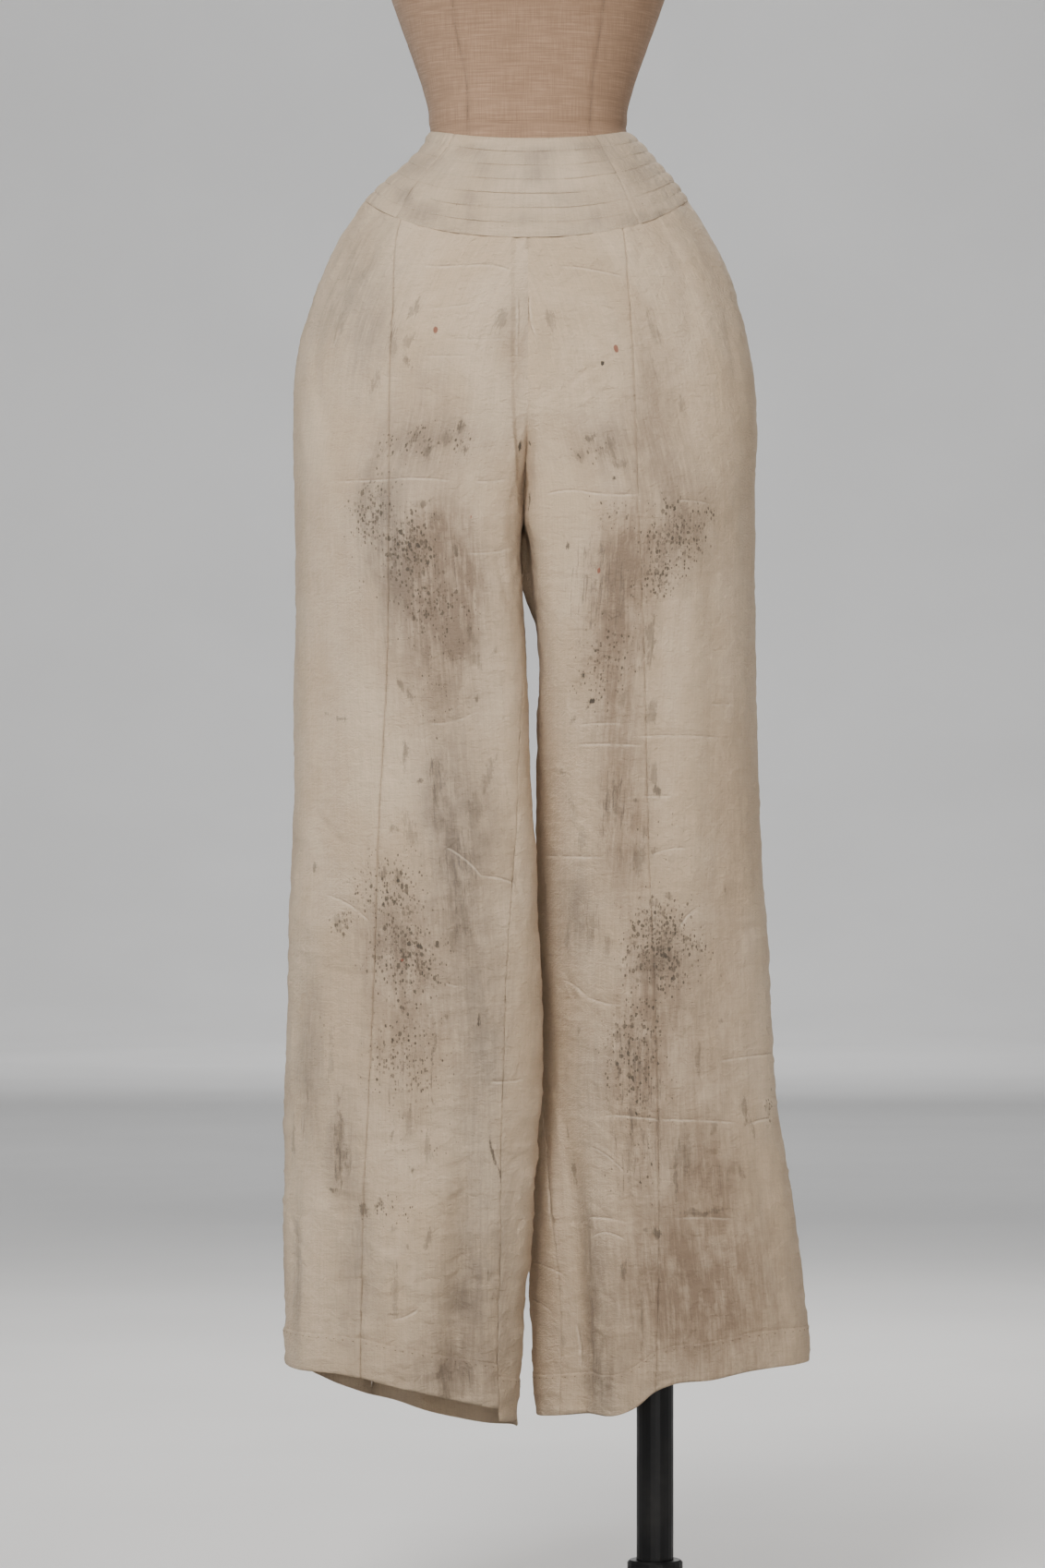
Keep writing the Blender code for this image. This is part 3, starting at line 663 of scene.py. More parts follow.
# Smudges on the waistband, in the photograph's pixels.
BAND_SMUDGES = table(
    "x y wide tall tone",
    (583, 169, 20, 9, 0.36),
    (583, 190, 15, 11, 0.26),
    (512, 163, 22, 8, 0.22),
    (522, 178, 10, 12, 0.20),
    (650, 172, 18, 16, 0.26),
    (626, 160, 22, 7, 0.20),
    (438, 212, 10, 10, 0.50),
    (460, 231, 20, 11, 0.36),
    (508, 219, 10, 9, 0.30),
    (513, 240, 9, 7, 0.26),
    (560, 243, 22, 7, 0.16),
    (610, 219, 14, 8, 0.16),
    (645, 240, 8, 9, 0.26),
    (688, 240, 16, 9, 0.34),
    (716, 234, 7, 7, 0.42),
    (690, 190, 20, 16, 0.20),
    (462, 178, 30, 11, 0.22),
    (480, 196, 24, 8, 0.14),
    unit=1,
)
# The form's front seams, by height above the waist.
FORM_SEAMS = table(
    "rise right left",
    (0, -52, 53),
    (19, -52, 54),
    (46, -54, 56),
    (76, -61, 61),
    (116, -66, 66),
    (182, -70, 70),
    (250, -66, 66),
    (325, -62, 62),
    (354, -50, 50),
)


# Shapes of the cloth, as in the solids


def smooth(rows, column, at, key="drop"):
    """A column of a table at any place, along a smooth curve through its rows."""
    x, y = rows[key], rows[column]
    slope = np.gradient(y, x)
    at = np.clip(at, x[0], x[-1])
    k = np.clip(np.searchsorted(x, at) - 1, 0, len(x) - 2)
    h = x[k + 1] - x[k]
    t = (at - x[k]) / h
    return (
        y[k] * (1 + 2 * t) * (1 - t) ** 2
        + y[k + 1] * t**2 * (3 - 2 * t)
        + slope[k] * h * t * (1 - t) ** 2
        + slope[k + 1] * h * t**2 * (t - 1)
    )


def eased(t):
    """0 up to 0, 1 from 1, and a smooth rise between."""
    t = np.clip(t, 0, 1)
    return t * t * (3 - 2 * t)


def power(value, exponent):
    return np.sign(value) * np.abs(value) ** exponent


def mixed(a, b, share):
    return a + (b - a) * share


def bell(distance, width):
    return np.exp(-((distance / width) ** 2))


def stacked(*parts):
    """Points from their coordinates, each an array or a number."""
    return np.stack(np.broadcast_arrays(*parts), axis=-1)


def nearer(px, py, share):
    """A place in the photograph, drawn towards or away from its middle."""
    return (c + (p - c) * share for p, c in zip((px, py), CENTRE_PX))


def body_power(drop):
    return mixed(BODY_POWER, CROTCH_POWER, eased((drop - HIP_DROP) / (CROTCH - HIP_DROP)))


def hips(side, drop, u):
    beta = math.pi * u
    exponent = body_power(drop)
    half = smooth(BODY, "left" if side > 0 else "right", drop)
    front = smooth(BODY, "front", drop)
    back = smooth(BODY, "back", drop)
    x = side * half * power(np.sin(beta), exponent)
    y = -np.where(np.cos(beta) > 0, front, back) * power(np.cos(beta), exponent)
    return x, y


def leg(side, drop, u):
    rows = LEG[side]
    alpha = 2 * math.pi * u
    across = (1 - np.cos(alpha)) / 2
    sewn = CROTCH_X + side * SEAM_GAP
    inner = mixed(sewn, smooth(rows, "inner", drop), eased((drop - CROTCH) / CROTCH_OPENING))
    if side > 0:
        # Behind its front edge, the left leg bulges in until further down
        held = (1 - eased((drop - HELD_DROP) / 0.05)) * eased(-np.sin(alpha) / 0.13)
        past = (drop - CROTCH) / CROTCH_OPENING
        inner = mixed(inner, sewn - (2.2 * eased(3 * past) + 1.3 * eased(past)) * MM, held)
    outer = smooth(rows, "outer", drop)
    front = smooth(rows, "front", drop)
    back = smooth(rows, "back", drop)
    # Behind, near the crotch, the section is fuller.
    full = (np.sin(alpha) < 0) * (1 - eased((drop - CROTCH) / SEAT_REACH))
    pull = (1 - across) ** mixed(TIP_POWER, SEAT_TIP_POWER, full)
    middle = mixed((front + back) / 2, smooth(rows, "tip", drop), pull)
    exponent = mixed(mixed(LEG_INNER_POWER, SEAT_POWER, full), LEG_OUTER_POWER, across)
    x = mixed(inner, outer, across)
    y = middle - (back - front) / 2 * power(np.sin(alpha), exponent)
    return x, y


def fold_depth(side, drop, u, x):
    """How far the long folds of one leg stand out."""
    total = np.zeros(np.shape(x))
    on_front = np.sin(2 * math.pi * u) > 0
    for row_side, face, top_x, top, foot_x, foot, width, depth in rows_of(FOLDS):
        if row_side * side > 0:
            along = (drop - top) / (foot - top)
            across = (x - mixed(top_x, foot_x, along)) / width
            fade = eased(along * 2.2) * eased((1.25 - along) * 4)
            total = total + depth * np.exp(-(across**2)) * fade * (on_front == (face < 0))
    return total


def section(side, drop, u):
    parted = eased((drop - CROTCH_TOP) / (CROTCH - CROTCH_TOP))
    inside = np.clip(u, 0, 1)
    across = (1 - np.cos(2 * math.pi * inside)) / 2
    above = np.arcsin(across ** (1 / body_power(drop))) / math.pi
    above = np.where(inside < 0.5, above, 1 - above)
    slid = eased((drop - HIP_DROP) / (CROTCH_TOP - HIP_DROP))
    hip_x, hip_y = hips(side, drop, mixed(inside, above, slid))
    leg_x, leg_y = leg(side, drop, u)
    return mixed(hip_x, leg_x, parted), mixed(hip_y, leg_y, parted)


def surface(side, drop, u):
    """Points of the outer face of the cloth, with the solids' folds."""
    x, y = section(side, drop, u)
    ax, ay = section(side, drop, u - TURN_STEP)
    bx, by = section(side, drop, u + TURN_STEP)
    run_x, run_y = bx - ax, by - ay
    out = side * fold_depth(side, drop, u, x) / np.maximum(np.hypot(run_x, run_y), 1e-9)
    return stacked(x + out * run_y, y - out * run_x, WAIST_Z - drop)


def normals(side, drop, u):
    step = 4 * TURN_STEP
    across = surface(side, drop, u + step) - surface(side, drop, u - step)
    up = surface(side, drop - step, u) - surface(side, drop + step, u)
    out = side * np.cross(across, up)
    return out / np.linalg.norm(out, axis=-1, keepdims=True)


def turn_at_x(side, drop, x, face):
    near, far = (0.0, 0.5) if face < 0 else (1.0, 0.5)
    near, far = np.full(np.shape(drop), near), np.full(np.shape(drop), far)
    for _ in range(24):
        middle = (near + far) / 2
        inside = side * section(side, drop, middle)[0] < side * x
        near, far = np.where(inside, middle, near), np.where(inside, far, middle)
    return (near + far) / 2


def seam_turns(side, drop):
    rows = SEAMS[side]
    front = turn_at_x(side, drop, smooth(rows, "front", drop), -1)
    back = turn_at_x(side, drop, smooth(rows, "back", drop), 1)
    return np.maximum(smooth(INSEAMS[side], "turn", drop), 0), front, back


def panel_span(side, panel, drop):
    inseam, front, back = seam_turns(side, drop)
    return {"front": (inseam, front), "side": (front, back), "back": (back, 1 + inseam)}[panel]


def band_top(u):
    return np.where(u < 0.5, 12, 5) * MM * np.cos(math.pi * u) ** 2


def band_foot(u):
    return (60 + np.where(u < 0.5, 40, 22) * np.cos(math.pi * u) ** 2) * MM


def hem_drop(side, panel, u):
    """Where a piece ends, and how deep its hem is."""
    x = leg(side, np.full(np.shape(u), HEM_DROP), u)[0]
    before = smooth(HEM[side], "strip" if panel == "back" else "front", x, key="x")
    behind = smooth(HEM[side], "back", x, key="x")
    ends = np.where(np.sin(2 * math.pi * u) > 0, before, behind)
    return ends, smooth(HEM[side], "turned", x, key="x")


def around_body(drop, turns):
    """Points and outward directions by turns from the centre front, negative to the right."""
    u = np.abs(turns)
    on_left = (turns >= 0)[..., None]
    points = np.where(on_left, surface(1, drop, u), surface(-1, drop, u))
    out = np.where(on_left, normals(1, drop, u), normals(-1, drop, u))
    out[np.abs(np.sin(math.pi * u)) < 1e-6, 0] = 0
    return points, out / np.linalg.norm(out, axis=-1, keepdims=True)


# Uneven detail


def noise(points, seed):
    """Smooth uneven values from -1 to 1 through space, one cell to a unit."""
    cell = np.floor(points).astype(np.int64)
    t = points - cell
    t = t * t * t * (t * (t * 6 - 15) + 10)
    total = 0
    for corner in itertools.product((0, 1), repeat=3):
        at = cell + corner
        key = at[..., 0] * 73856093 ^ at[..., 1] * 19349663 ^ at[..., 2] * 83492791
        key = (key ^ (seed * 2654435 + 977)) & 0x7FFFFFFF
        key = (key ^ (key >> 13)) * 1274126177 & 0x7FFFFFFF
        value = ((key ^ (key >> 16)) & 0xFFFF) / 32767.5 - 1
        weight = 1
        for axis, on in enumerate(corner):
            weight = weight * (t[..., axis] if on else 1 - t[..., axis])
        total = total + value * weight
    return total


def ridged(points, seed):
    """Narrow ridges at 1 with wide hollows near 0."""
    return (1 - np.abs(noise(points, seed))) ** 3


class LegCloth:
    """Flat places on the cloth of one leg: metres around from its outer side, and the drop."""

    drop_step, turn_step = 0.01, 0.005
    never_round = 10.0  # the girth where the cloth of one leg isn't closed

    def __init__(self, side):
        self.side = side
        self.drops = np.arange(0.04, 1.17, self.drop_step)
        self.turns = np.arange(-0.01, 1.21, self.turn_step)
        drop, u = np.meshgrid(self.drops, self.turns, indexing="ij")
        x, y = section(side, drop, u)
        self.across = side * x
        step = np.hypot(np.diff(x, axis=1), np.diff(y, axis=1))
        run = np.concatenate([np.zeros((len(drop), 1)), np.cumsum(step, axis=1)], axis=1)
        middle = np.argmin(np.abs(self.turns - 0.5))
        self.run = run - run[:, middle : middle + 1]

    def around(self, drop, u):
        i = np.clip((drop - self.drops[0]) / self.drop_step, 0, len(self.drops) - 1.001)
        j = np.clip((u - self.turns[0]) / self.turn_step, 0, len(self.turns) - 1.001)
        a, b = i.astype(int), j.astype(int)
        p, q = i - a, j - b
        run = self.run
        return (run[a, b] * (1 - q) + run[a, b + 1] * q) * (1 - p) + (
            run[a + 1, b] * (1 - q) + run[a + 1, b + 1] * q
        ) * p

    def girth(self, drop):
        whole = self.around(drop, drop * 0 + 1) - self.around(drop, drop * 0)
        return np.where(drop > CROTCH, whole, self.never_round)

    def placed(self, px, py, face=FRONT):
        """The flat place of a point that the photograph shows, or of the one behind it."""
        front = smooth(LEG[self.side], "front", max((py - WAIST_PX) * PIXEL, CROTCH_TOP))
        near = 1 + front / CAMERA_DISTANCE
        px, py = nearer(px, py, near)
        drop = (py - WAIST_PX) * PIXEL
        x = max(self.side * (px - MIDDLE_PX) * PIXEL, self.side * CROTCH_X + 1 * MM)
        i = min(max((drop - self.drops[0]) / self.drop_step, 0), len(self.drops) - 1.001)
        row, share = int(i), i % 1
        across, run = (mixed(grid[row], grid[row + 1], share) for grid in (self.across, self.run))
        inner, outer, end = (np.argmin(np.abs(self.turns - turn)) for turn in (0, 0.5, 1))
        half = slice(inner, outer + 1) if face == FRONT else slice(end, outer - 1, -1)
        return float(np.interp(x, across[half], run[half])), drop

    def offset(self, s, t, at):
        """How far s lies from a place, the short way round."""
        girth = self.girth(t)
        return (s - at + girth / 2) % girth - girth / 2


def strip_height(cloth, s, t, ends, bow, width, depth, exponent, lines=None):
    """One soft or sharp crease between two flat places. A pressed one also gets painted shade along
    its line and a painted highlight below it.
    """
    (sa, ta), (sb, tb) = ends
    ds, dt = sb - sa, tb - ta
    length = math.hypot(ds, dt)
    near = np.abs(t - (ta + tb) / 2) < abs(dt) / 2 + 6 * width + abs(bow)
    out = np.zeros(s.shape)
    if not near.any():
        return out
    x, y = cloth.offset(s[near], t[near], sa), t[near] - ta
    along = (x * ds + y * dt) / length**2
    off = (x * dt - y * ds) / length - 4 * bow * along * (1 - along)
    fade = eased((along + 0.12) * 4) * eased((1.12 - along) * 4)
    out[near] = depth * np.exp(-((np.abs(off) / width) ** exponent)) * fade
    # For the painted shade and highlight of a pressed crease: where across it a point lies, and how
    # strong the painting is there
    if lines is not None:
        strength = fade * eased((6 * MM - np.abs(off)) / (3 * MM))
        strength = strength * min(abs(depth) / (1.2 * MM), 1)
        over = strength > lines[..., 1][near]
        below = off * (-1 if ds > 0 else 1)
        lines[near, 0] = np.where(over, 0.5 + below / (PRESSED_BAND * MM), lines[near, 0])
        lines[near, 1] = np.where(over, strength, lines[near, 1])
    return out


def crease_height(cloth, s, t):
    """The creases seen in the photograph, and like ones, unevenly shifted, on the back."""
    total = np.zeros(s.shape)
    lines = np.zeros((*s.shape, 4))
    uneven = np.random.default_rng(11)
    for face in (FRONT, BACK):
        for x0, y0, x1, y1, bow, width, depth, exponent in rows_of(CREASES):
            shift = uneven.uniform(-14, 14, 4)
            if face == BACK:
                x0, x1 = 2 * MIDDLE_PX - x0 + shift[0], 2 * MIDDLE_PX - x1 + shift[0]
                y0, y1 = y0 + shift[1] + shift[2], y1 + shift[1] + shift[3]
                depth = depth * 0.9
            if cloth.side * ((x0 + x1) / 2 - PARTING_PX) < 0:
                continue
            ends = cloth.placed(x0, y0, face), cloth.placed(x1, y1, face)
            width, depth = (0.5 + width) * MM, depth * CREASE_DEPTH
            pressed_crease_light = lines if exponent < PRESSED_POWER else None
            total += strip_height(cloth, s, t, ends, bow * PIXEL, width, depth, exponent, pressed_crease_light)
    return total, lines


def small_creases(cloth, s, t):
    """Short crinkles all over, closer together and deeper towards the hem."""
    total = np.zeros(s.shape)
    uneven = np.random.default_rng(40 + cloth.side)
    for _ in range(CRINKLES):
        at_t = 0.10 + 1.0 * uneven.random() ** 0.62
        at_s = uneven.uniform(-0.36, 0.36)
        slope = uneven.normal(0, 0.42)
        if uneven.random() < 0.22:
            slope += math.pi / 2
        length = uneven.uniform(9, 34) * MM
        low = 0.45 + 0.75 * eased((at_t - 0.5) / 0.5)
        depth = uneven.choice((-1, -1, 1)) * uneven.uniform(0.3, 0.9) * low * MM
        width = uneven.uniform(1.5, 2.8) * MM
        bow = uneven.uniform(-0.12, 0.12) * length
        ds, dt = math.cos(slope) * length / 2, math.sin(slope) * length / 2
        ends = (at_s - ds, at_t - dt), (at_s + ds, at_t + dt)
        total += strip_height(cloth, s, t, ends, bow, width, depth, 1.5)
    return total


def ellipse(cloth, s, t, face, x, y, wide, tall, lean=0.0):
    """Distance from the middle of a mark, 1 at its edge."""
    at_s, at_t = cloth.placed(x, y, face)
    down = (t - at_t) / (tall * PIXEL)
    near = np.abs(down) < 3
    out = np.full(s.shape, FAR)
    if near.any():
        # On the front, metres around grow towards the outer side, and the photograph's x with them
        # on the wearer's left alone.
        way = cloth.side * (1 if face == FRONT else -1)
        across = cloth.offset(s[near], t[near], at_s) + way * lean * PIXEL * down[near]
        out[near] = np.hypot(across / (wide * PIXEL), down[near])
    return out


def stains_and_shade(cloth, s, t):
    """What the two colour layers hold: marks, specks and streaks, then washes with some painted
    shade, and rust.
    """
    places = stacked(s / 0.010, t / 0.014, 3 * cloth.side)
    s, t = s + 2.2 * MM * noise(places, 61), t + 3.5 * MM * noise(places, 62)
    marks = np.zeros((*s.shape, 4))
    layers = np.zeros((*s.shape, 4))
    shape, tone, amount, hue = (np.zeros(s.shape) for _ in range(4))
    for face, share in ((FRONT, 1.0), (BACK, 0.75)):
        uneven = np.random.default_rng(7)

        def mine(rows, reach=0):
            """The rows that lie on this leg. On the back they are mirrored and shifted."""
            for x, y, wide, tall, *rest in rows_of(rows):
                if face == BACK:
                    shift = uneven.uniform(-1, 1, 2)
                    x, y = 2 * MIDDLE_PX - x + 16 * shift[0], y + 30 * shift[1]
                if cloth.side * (x - PARTING_PX) > -wide * reach:
                    yield x, y, wide, tall, *rest

        def distance(*place):
            return ellipse(cloth, s, t, face, *place)

        for *place, level in mine(MARKS):
            field = np.clip(1 - distance(*place) / 2, 0, 1)
            over = field > shape
            shape = np.where(over, field, shape)
            tone = np.where(over, level * share, tone)
        # Washes hold stains, and in their marked rows painted shade
        for *place, level, tint in mine(WASHES_AND_SHADE):
            one = level * share * np.exp(-(distance(*place) ** 2))
            hue = hue + one * tint
            amount = amount + one
        for channel, rows in ((2, SPECKS), (3, STREAKS)):
            for x, *place, level in mine(rows, reach=1):
                x = PARTING_PX + cloth.side * max(cloth.side * (x - PARTING_PX), 6)
                one = level * share * np.exp(-(distance(x, *place) ** 2))
                marks[..., channel] = np.maximum(marks[..., channel], one)
        if face == FRONT:
            for place in mine(RUST):
                field = np.clip(1 - distance(*place) / 2, 0, 1)
                layers[..., 2] = np.maximum(layers[..., 2], field)
    marks[..., 0], marks[..., 1] = shape, tone
    layers[..., 0] = np.clip(1.6 * amount, 0, 1)
    layers[..., 1] = 0.5 + 0.5 * hue / np.maximum(amount, 1e-6)
    return marks, layers


# Meshes


def grid_faces(rows, columns, start=0):
    i = np.arange(rows - 1)[:, None] * columns + np.arange(columns - 1)[None, :] + start
    return stacked(i, i + columns, i + columns + 1, i + 1).reshape(-1, 4)


def rim_faces(fine, coarse):
    """Triangles between an edge of the outer grid and the edge of the inner one, half as fine."""
    a, b, c = fine[:-2:2], fine[1:-1:2], fine[2::2]
    p, q = coarse[:-1], coarse[1:]
    return np.concatenate([stacked(a, b, p), stacked(b, c, q), stacked(p, b, q)])


def new_object(name, points, quads, triangles, finish, layers=()):
    mesh = bpy.data.meshes.new(name)
    mesh.from_pydata(points.tolist(), [], quads.tolist() + triangles.tolist())
    for layer, values in dict(layers).items():
        kind, field = {3: ("FLOAT_VECTOR", "vector"), 4: ("FLOAT_COLOR", "color")}[values.shape[-1]]
        made = mesh.attributes.new(layer, kind, "POINT")
        made.data.foreach_set(field, np.ascontiguousarray(values, np.float32).ravel())
    bm = bmesh.new()
    bm.from_mesh(mesh)
    bmesh.ops.recalc_face_normals(bm, faces=bm.faces)
    bm.to_mesh(mesh)
    bm.free()
    mesh.shade_smooth()
    mesh.set_sharp_from_angle(angle=SHARP)
    mesh.materials.append(finish)
    made = bpy.data.objects.new(name, mesh)
    bpy.context.scene.collection.objects.link(made)
    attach(made, "root")
    return made


def shell(name, outer, out, finish, layers, thick=SHELL):
    """A closed thin shell under a grid of points, its inner side half as fine."""
    rows, columns = outer.shape[:2]
    inner = (outer - out * thick)[::2, ::2]
    index = np.arange(rows * columns).reshape(rows, columns)
    under = rows * columns + np.arange(inner.shape[0] * inner.shape[1]).reshape(inner.shape[:2])
    quads = np.concatenate(
        [grid_faces(rows, columns), grid_faces(*inner.shape[:2], start=rows * columns)[:, ::-1]]
    )
    edges = ((0, slice(None)), (-1, slice(None)), (slice(None), 0), (slice(None), -1))
    triangles = np.concatenate([rim_faces(index[e], under[e]) for e in edges])
    points = np.concatenate([outer.reshape(-1, 3), inner.reshape(-1, 3)])
    kept = {}
    for layer, values in layers.items():
        size = values.shape[-1]
        kept[layer] = np.concatenate([values.reshape(-1, size), values[::2, ::2].reshape(-1, size)])
    return new_object(name, points, quads, triangles, finish, kept)


def edged(count):
    """Shares of a piece's width for an odd number of columns, with close ones beside each edge."""
    near = np.array([0, 0.6, 1.5, 2.9]) * MM / USUAL_WIDTH
    inner = np.linspace(near[-1], 1 - near[-1], count - 5)[1:-1]
    return np.concatenate([near, inner, 1 - near[::-1]])


def leg_panel(cloth, panel, finish):
    """One cut piece of a leg, with its creases, wrinkles, seams and hem."""
    side = cloth.side
    upper, lower, hem_rows = ROWS[panel]
    across = edged(COLUMNS[panel] + 1)[None, :]

    def placed(drop):
        first, last = panel_span(side, panel, drop)
        return first + (last - first) * across

    top = band_foot(np.clip(placed(np.full(across.shape, 0.08)), 0, 1)) + 0.15 * MM
    hem, deep = hem_drop(side, panel, placed(np.full(across.shape, HEM_DROP)))
    line = hem - deep
    share = np.linspace(0, 1, upper + 1)[:, None] ** 1.02
    low = np.linspace(0, 1, lower + 1)[1:, None]
    close = np.array([-2.0, -1.3, -0.7, -0.2, 0.3, 0.9, 1.6, 2.4])[:, None] * MM
    turned = np.linspace(0, 1, hem_rows + 1)[1:, None]
    below = close[-1, 0]
    drop = np.vstack(
        [
            top + (CROTCH - top) * share,
            CROTCH + (line - 3 * MM - CROTCH) * low,
            line + close,
            line + below + (deep - below) * turned,
        ]
    )
    u = placed(drop)
    base = surface(side, drop, u)
    out = normals(side, drop, u)
    s = cloth.around(drop, u)
    width = np.abs(s[:, -1:] - s[:, :1])
    first, last = across * width, (1 - across) * width
    low_leg = eased((drop - 0.45) / 0.45)

    height, lines = crease_height(cloth, s, drop)
    height += small_creases(cloth, s, drop)
    # Broad unevenness, then crinkles drawn out sideways, then the small pucker of the weave
    height += (1.0 + 1.4 * low_leg) * MM * noise(base / (0.07, 0.07, 0.12), 1)
    height += (0.7 + 0.6 * low_leg) * MM * noise(base / (0.030, 0.030, 0.022), 2)
    height += (0.6 + 0.4 * low_leg) * MM * (ridged(base / (0.022, 0.022, 0.012), 3) - 0.3)
    height += (0.36 + 0.12 * low_leg) * MM * noise(base / (0.009, 0.009, 0.006), 4)

    if panel == "front":
        # Right of the centre, the cloth laps over in a pressed fold, from near the waistband down
        # to where the legs part. Further down, a hollow strip lies between it and the left leg.
        edge = FOLD_EDGE_X + 4.6 * MM * eased((drop - 0.236) / 0.1)
        past = base[..., 0] - edge - 0.8 * MM * noise(base / 0.03, 12) * eased((0.3 - drop) / 0.06)
        if side < 0:
            lapped = eased(0.5 - past / (2.2 * MM)) * np.exp(np.minimum(past, 0) / (28 * MM))
            hollow = bell(past / (3.5 * MM) - 0.8, 1)
            fade = eased((drop - 0.085) / 0.02) * eased((CROTCH - drop) / 0.04)
            height += fade * (1.3 * lapped - 0.6 * hollow) * MM
        strip = eased(past / (2.4 * MM)) * eased((7 * MM - base[..., 0]) / (5 * MM))
        strip = 3.6 * MM * strip * eased((drop - 0.225) / 0.06)
        base[..., 1] += strip * eased((CROTCH - drop) / 0.03)

    # Seams: the edges roll in, the cloth puckers beside them, and the allowances raise the side
    # piece. From just below the waistband to the crotch, the centre front seam lies under the
    # pressed fold.
    shown = np.ones(drop.shape)
    if panel == "front":
        shown = np.maximum(eased((FRONT_SEAM_END - drop) / 0.012), eased((drop - 0.36) / 0.03))
    for distance, sewn, open_here in ((first, 0, shown), (last, 1, 1)):
        height -= 0.55 * MM * bell(distance, 0.7 * MM) * open_here
        along = stacked(drop / 0.009, 3 * sewn + side, 0.0)
        height += 0.38 * MM * noise(along, 5) * np.exp(-distance / (6 * MM)) * open_here
        if panel == "side":
            allowance = eased(distance / (1.2 * MM)) * eased((9 * MM - distance) / (2 * MM))
            height += 0.42 * MM * allowance
    top_gap = drop - top
    beside = eased(np.abs(base[..., 0]) / 0.05 - 1)
    height -= (0.6 - 0.4 * beside) * MM * bell(top_gap, 1.2 * MM)
    across_top = stacked(s / 0.007, 0.0, side)
    height += 0.5 * MM * noise(across_top, 6) * np.exp(-top_gap / (9 * MM))
    # The fulness that the elastic gathers falls in soft folds down the hips and the seat
    fulness = eased((u - 0.16) / 0.2) * np.exp(-top_gap / (62 * MM))
    hung = stacked(s / 0.017 + 0.8 * noise(base / 0.06, 14), drop / 0.16, side)
    height += 1.5 * MM * fulness * noise(hung, 13)

    # The hem: a second layer inside, a drawn line where it is caught, and small stitches
    up = hem - drop
    above = up - deep
    height += 0.75 * MM * eased(0.6 - above / (1.2 * MM))
    caught = bell(above - 0.6 * MM, 1.1 * MM)
    stitch = 0.5 + 0.5 * np.cos(2 * math.pi * s / HEM_STITCH + 2 * noise(across_top / 4, 8))
    height -= caught * (0.25 + 0.35 * stitch**3) * MM
    height += 0.6 * MM * noise(across_top / (1.8, 1, 1), 9) * np.exp(-np.abs(above) / 0.008)
    height -= 0.8 * MM * eased((1.6 * MM - up) / (1.6 * MM))

    # About the crotch, the two legs' pieces touch
    if panel != "side":
        reach = eased(1 - (first if panel == "front" else last) / (9 * MM))
        touching = reach * eased((drop - 0.22) / 0.05) * eased((0.352 - drop) / 0.014)
        height = mixed(height, 0.35 * MM, touching)

    marks, layers = stains_and_shade(cloth, s, drop)
    # Dark lines: along the seams, painted shade in the hem's caught groove, darkest at each
    # stitch's dimple, and darker over the last few millimetres above the hem's edge
    layers[..., 3] = np.clip(
        0.8 * np.exp(-np.minimum(first + 9 * (1 - shown), last) / (0.8 * MM))
        + caught * (0.25 + 0.7 * stitch**6)
        + 0.4 * np.exp(-up / 0.003),
        0,
        1,
    )
    points = base + out * height[..., None]
    name = f"{'left' if side > 0 else 'right'}_leg_{panel}_cloth"
    kept = {"flat": stacked(s, drop, 0.5 * side), "marks": marks, "washes_and_shade": layers}
    made = shell(name, points, out, finish, {**kept, "pressed_crease_light": lines})
    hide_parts(name.removesuffix("_cloth"))
    caught_row = int(np.argmin(np.abs(above[:, 0] + 2.2 * MM)))
    return made, (points[caught_row], out[caught_row])


def band_stains(points):
    """The same two layers for the waistband, by what the photograph shows of its front."""
    x, drop = points[..., 0], WAIST_Z - points[..., 2]
    front = points[..., 1] < 0
    marks, layers = np.zeros((*x.shape, 4)), np.zeros((*x.shape, 4))
    uneven = noise(points / 0.007, 22)
    for px, py, wide, tall, tone in rows_of(BAND_SMUDGES):
        px, py = nearer(px, py, BAND_NEAR)
        across = np.abs(x - (px - MIDDLE_PX) * PIXEL + 2 * MM * uneven) / (wide * PIXEL)
        down = np.abs(drop - (py - WAIST_PX) * PIXEL - 1.5 * MM * uneven) / (tall * PIXEL)
        layers[..., 0] += np.where(front, 1, 0.6) * tone * np.exp(-(across**3) - down**3)
    layers[..., 0] += 0.10 + 0.12 * noise(points / 0.03, 21)
    layers[..., 0] = np.clip(layers[..., 0], 0, 1)
    layers[..., 1] = 0.3
    marks[..., 2] = 0.12
    return marks, layers


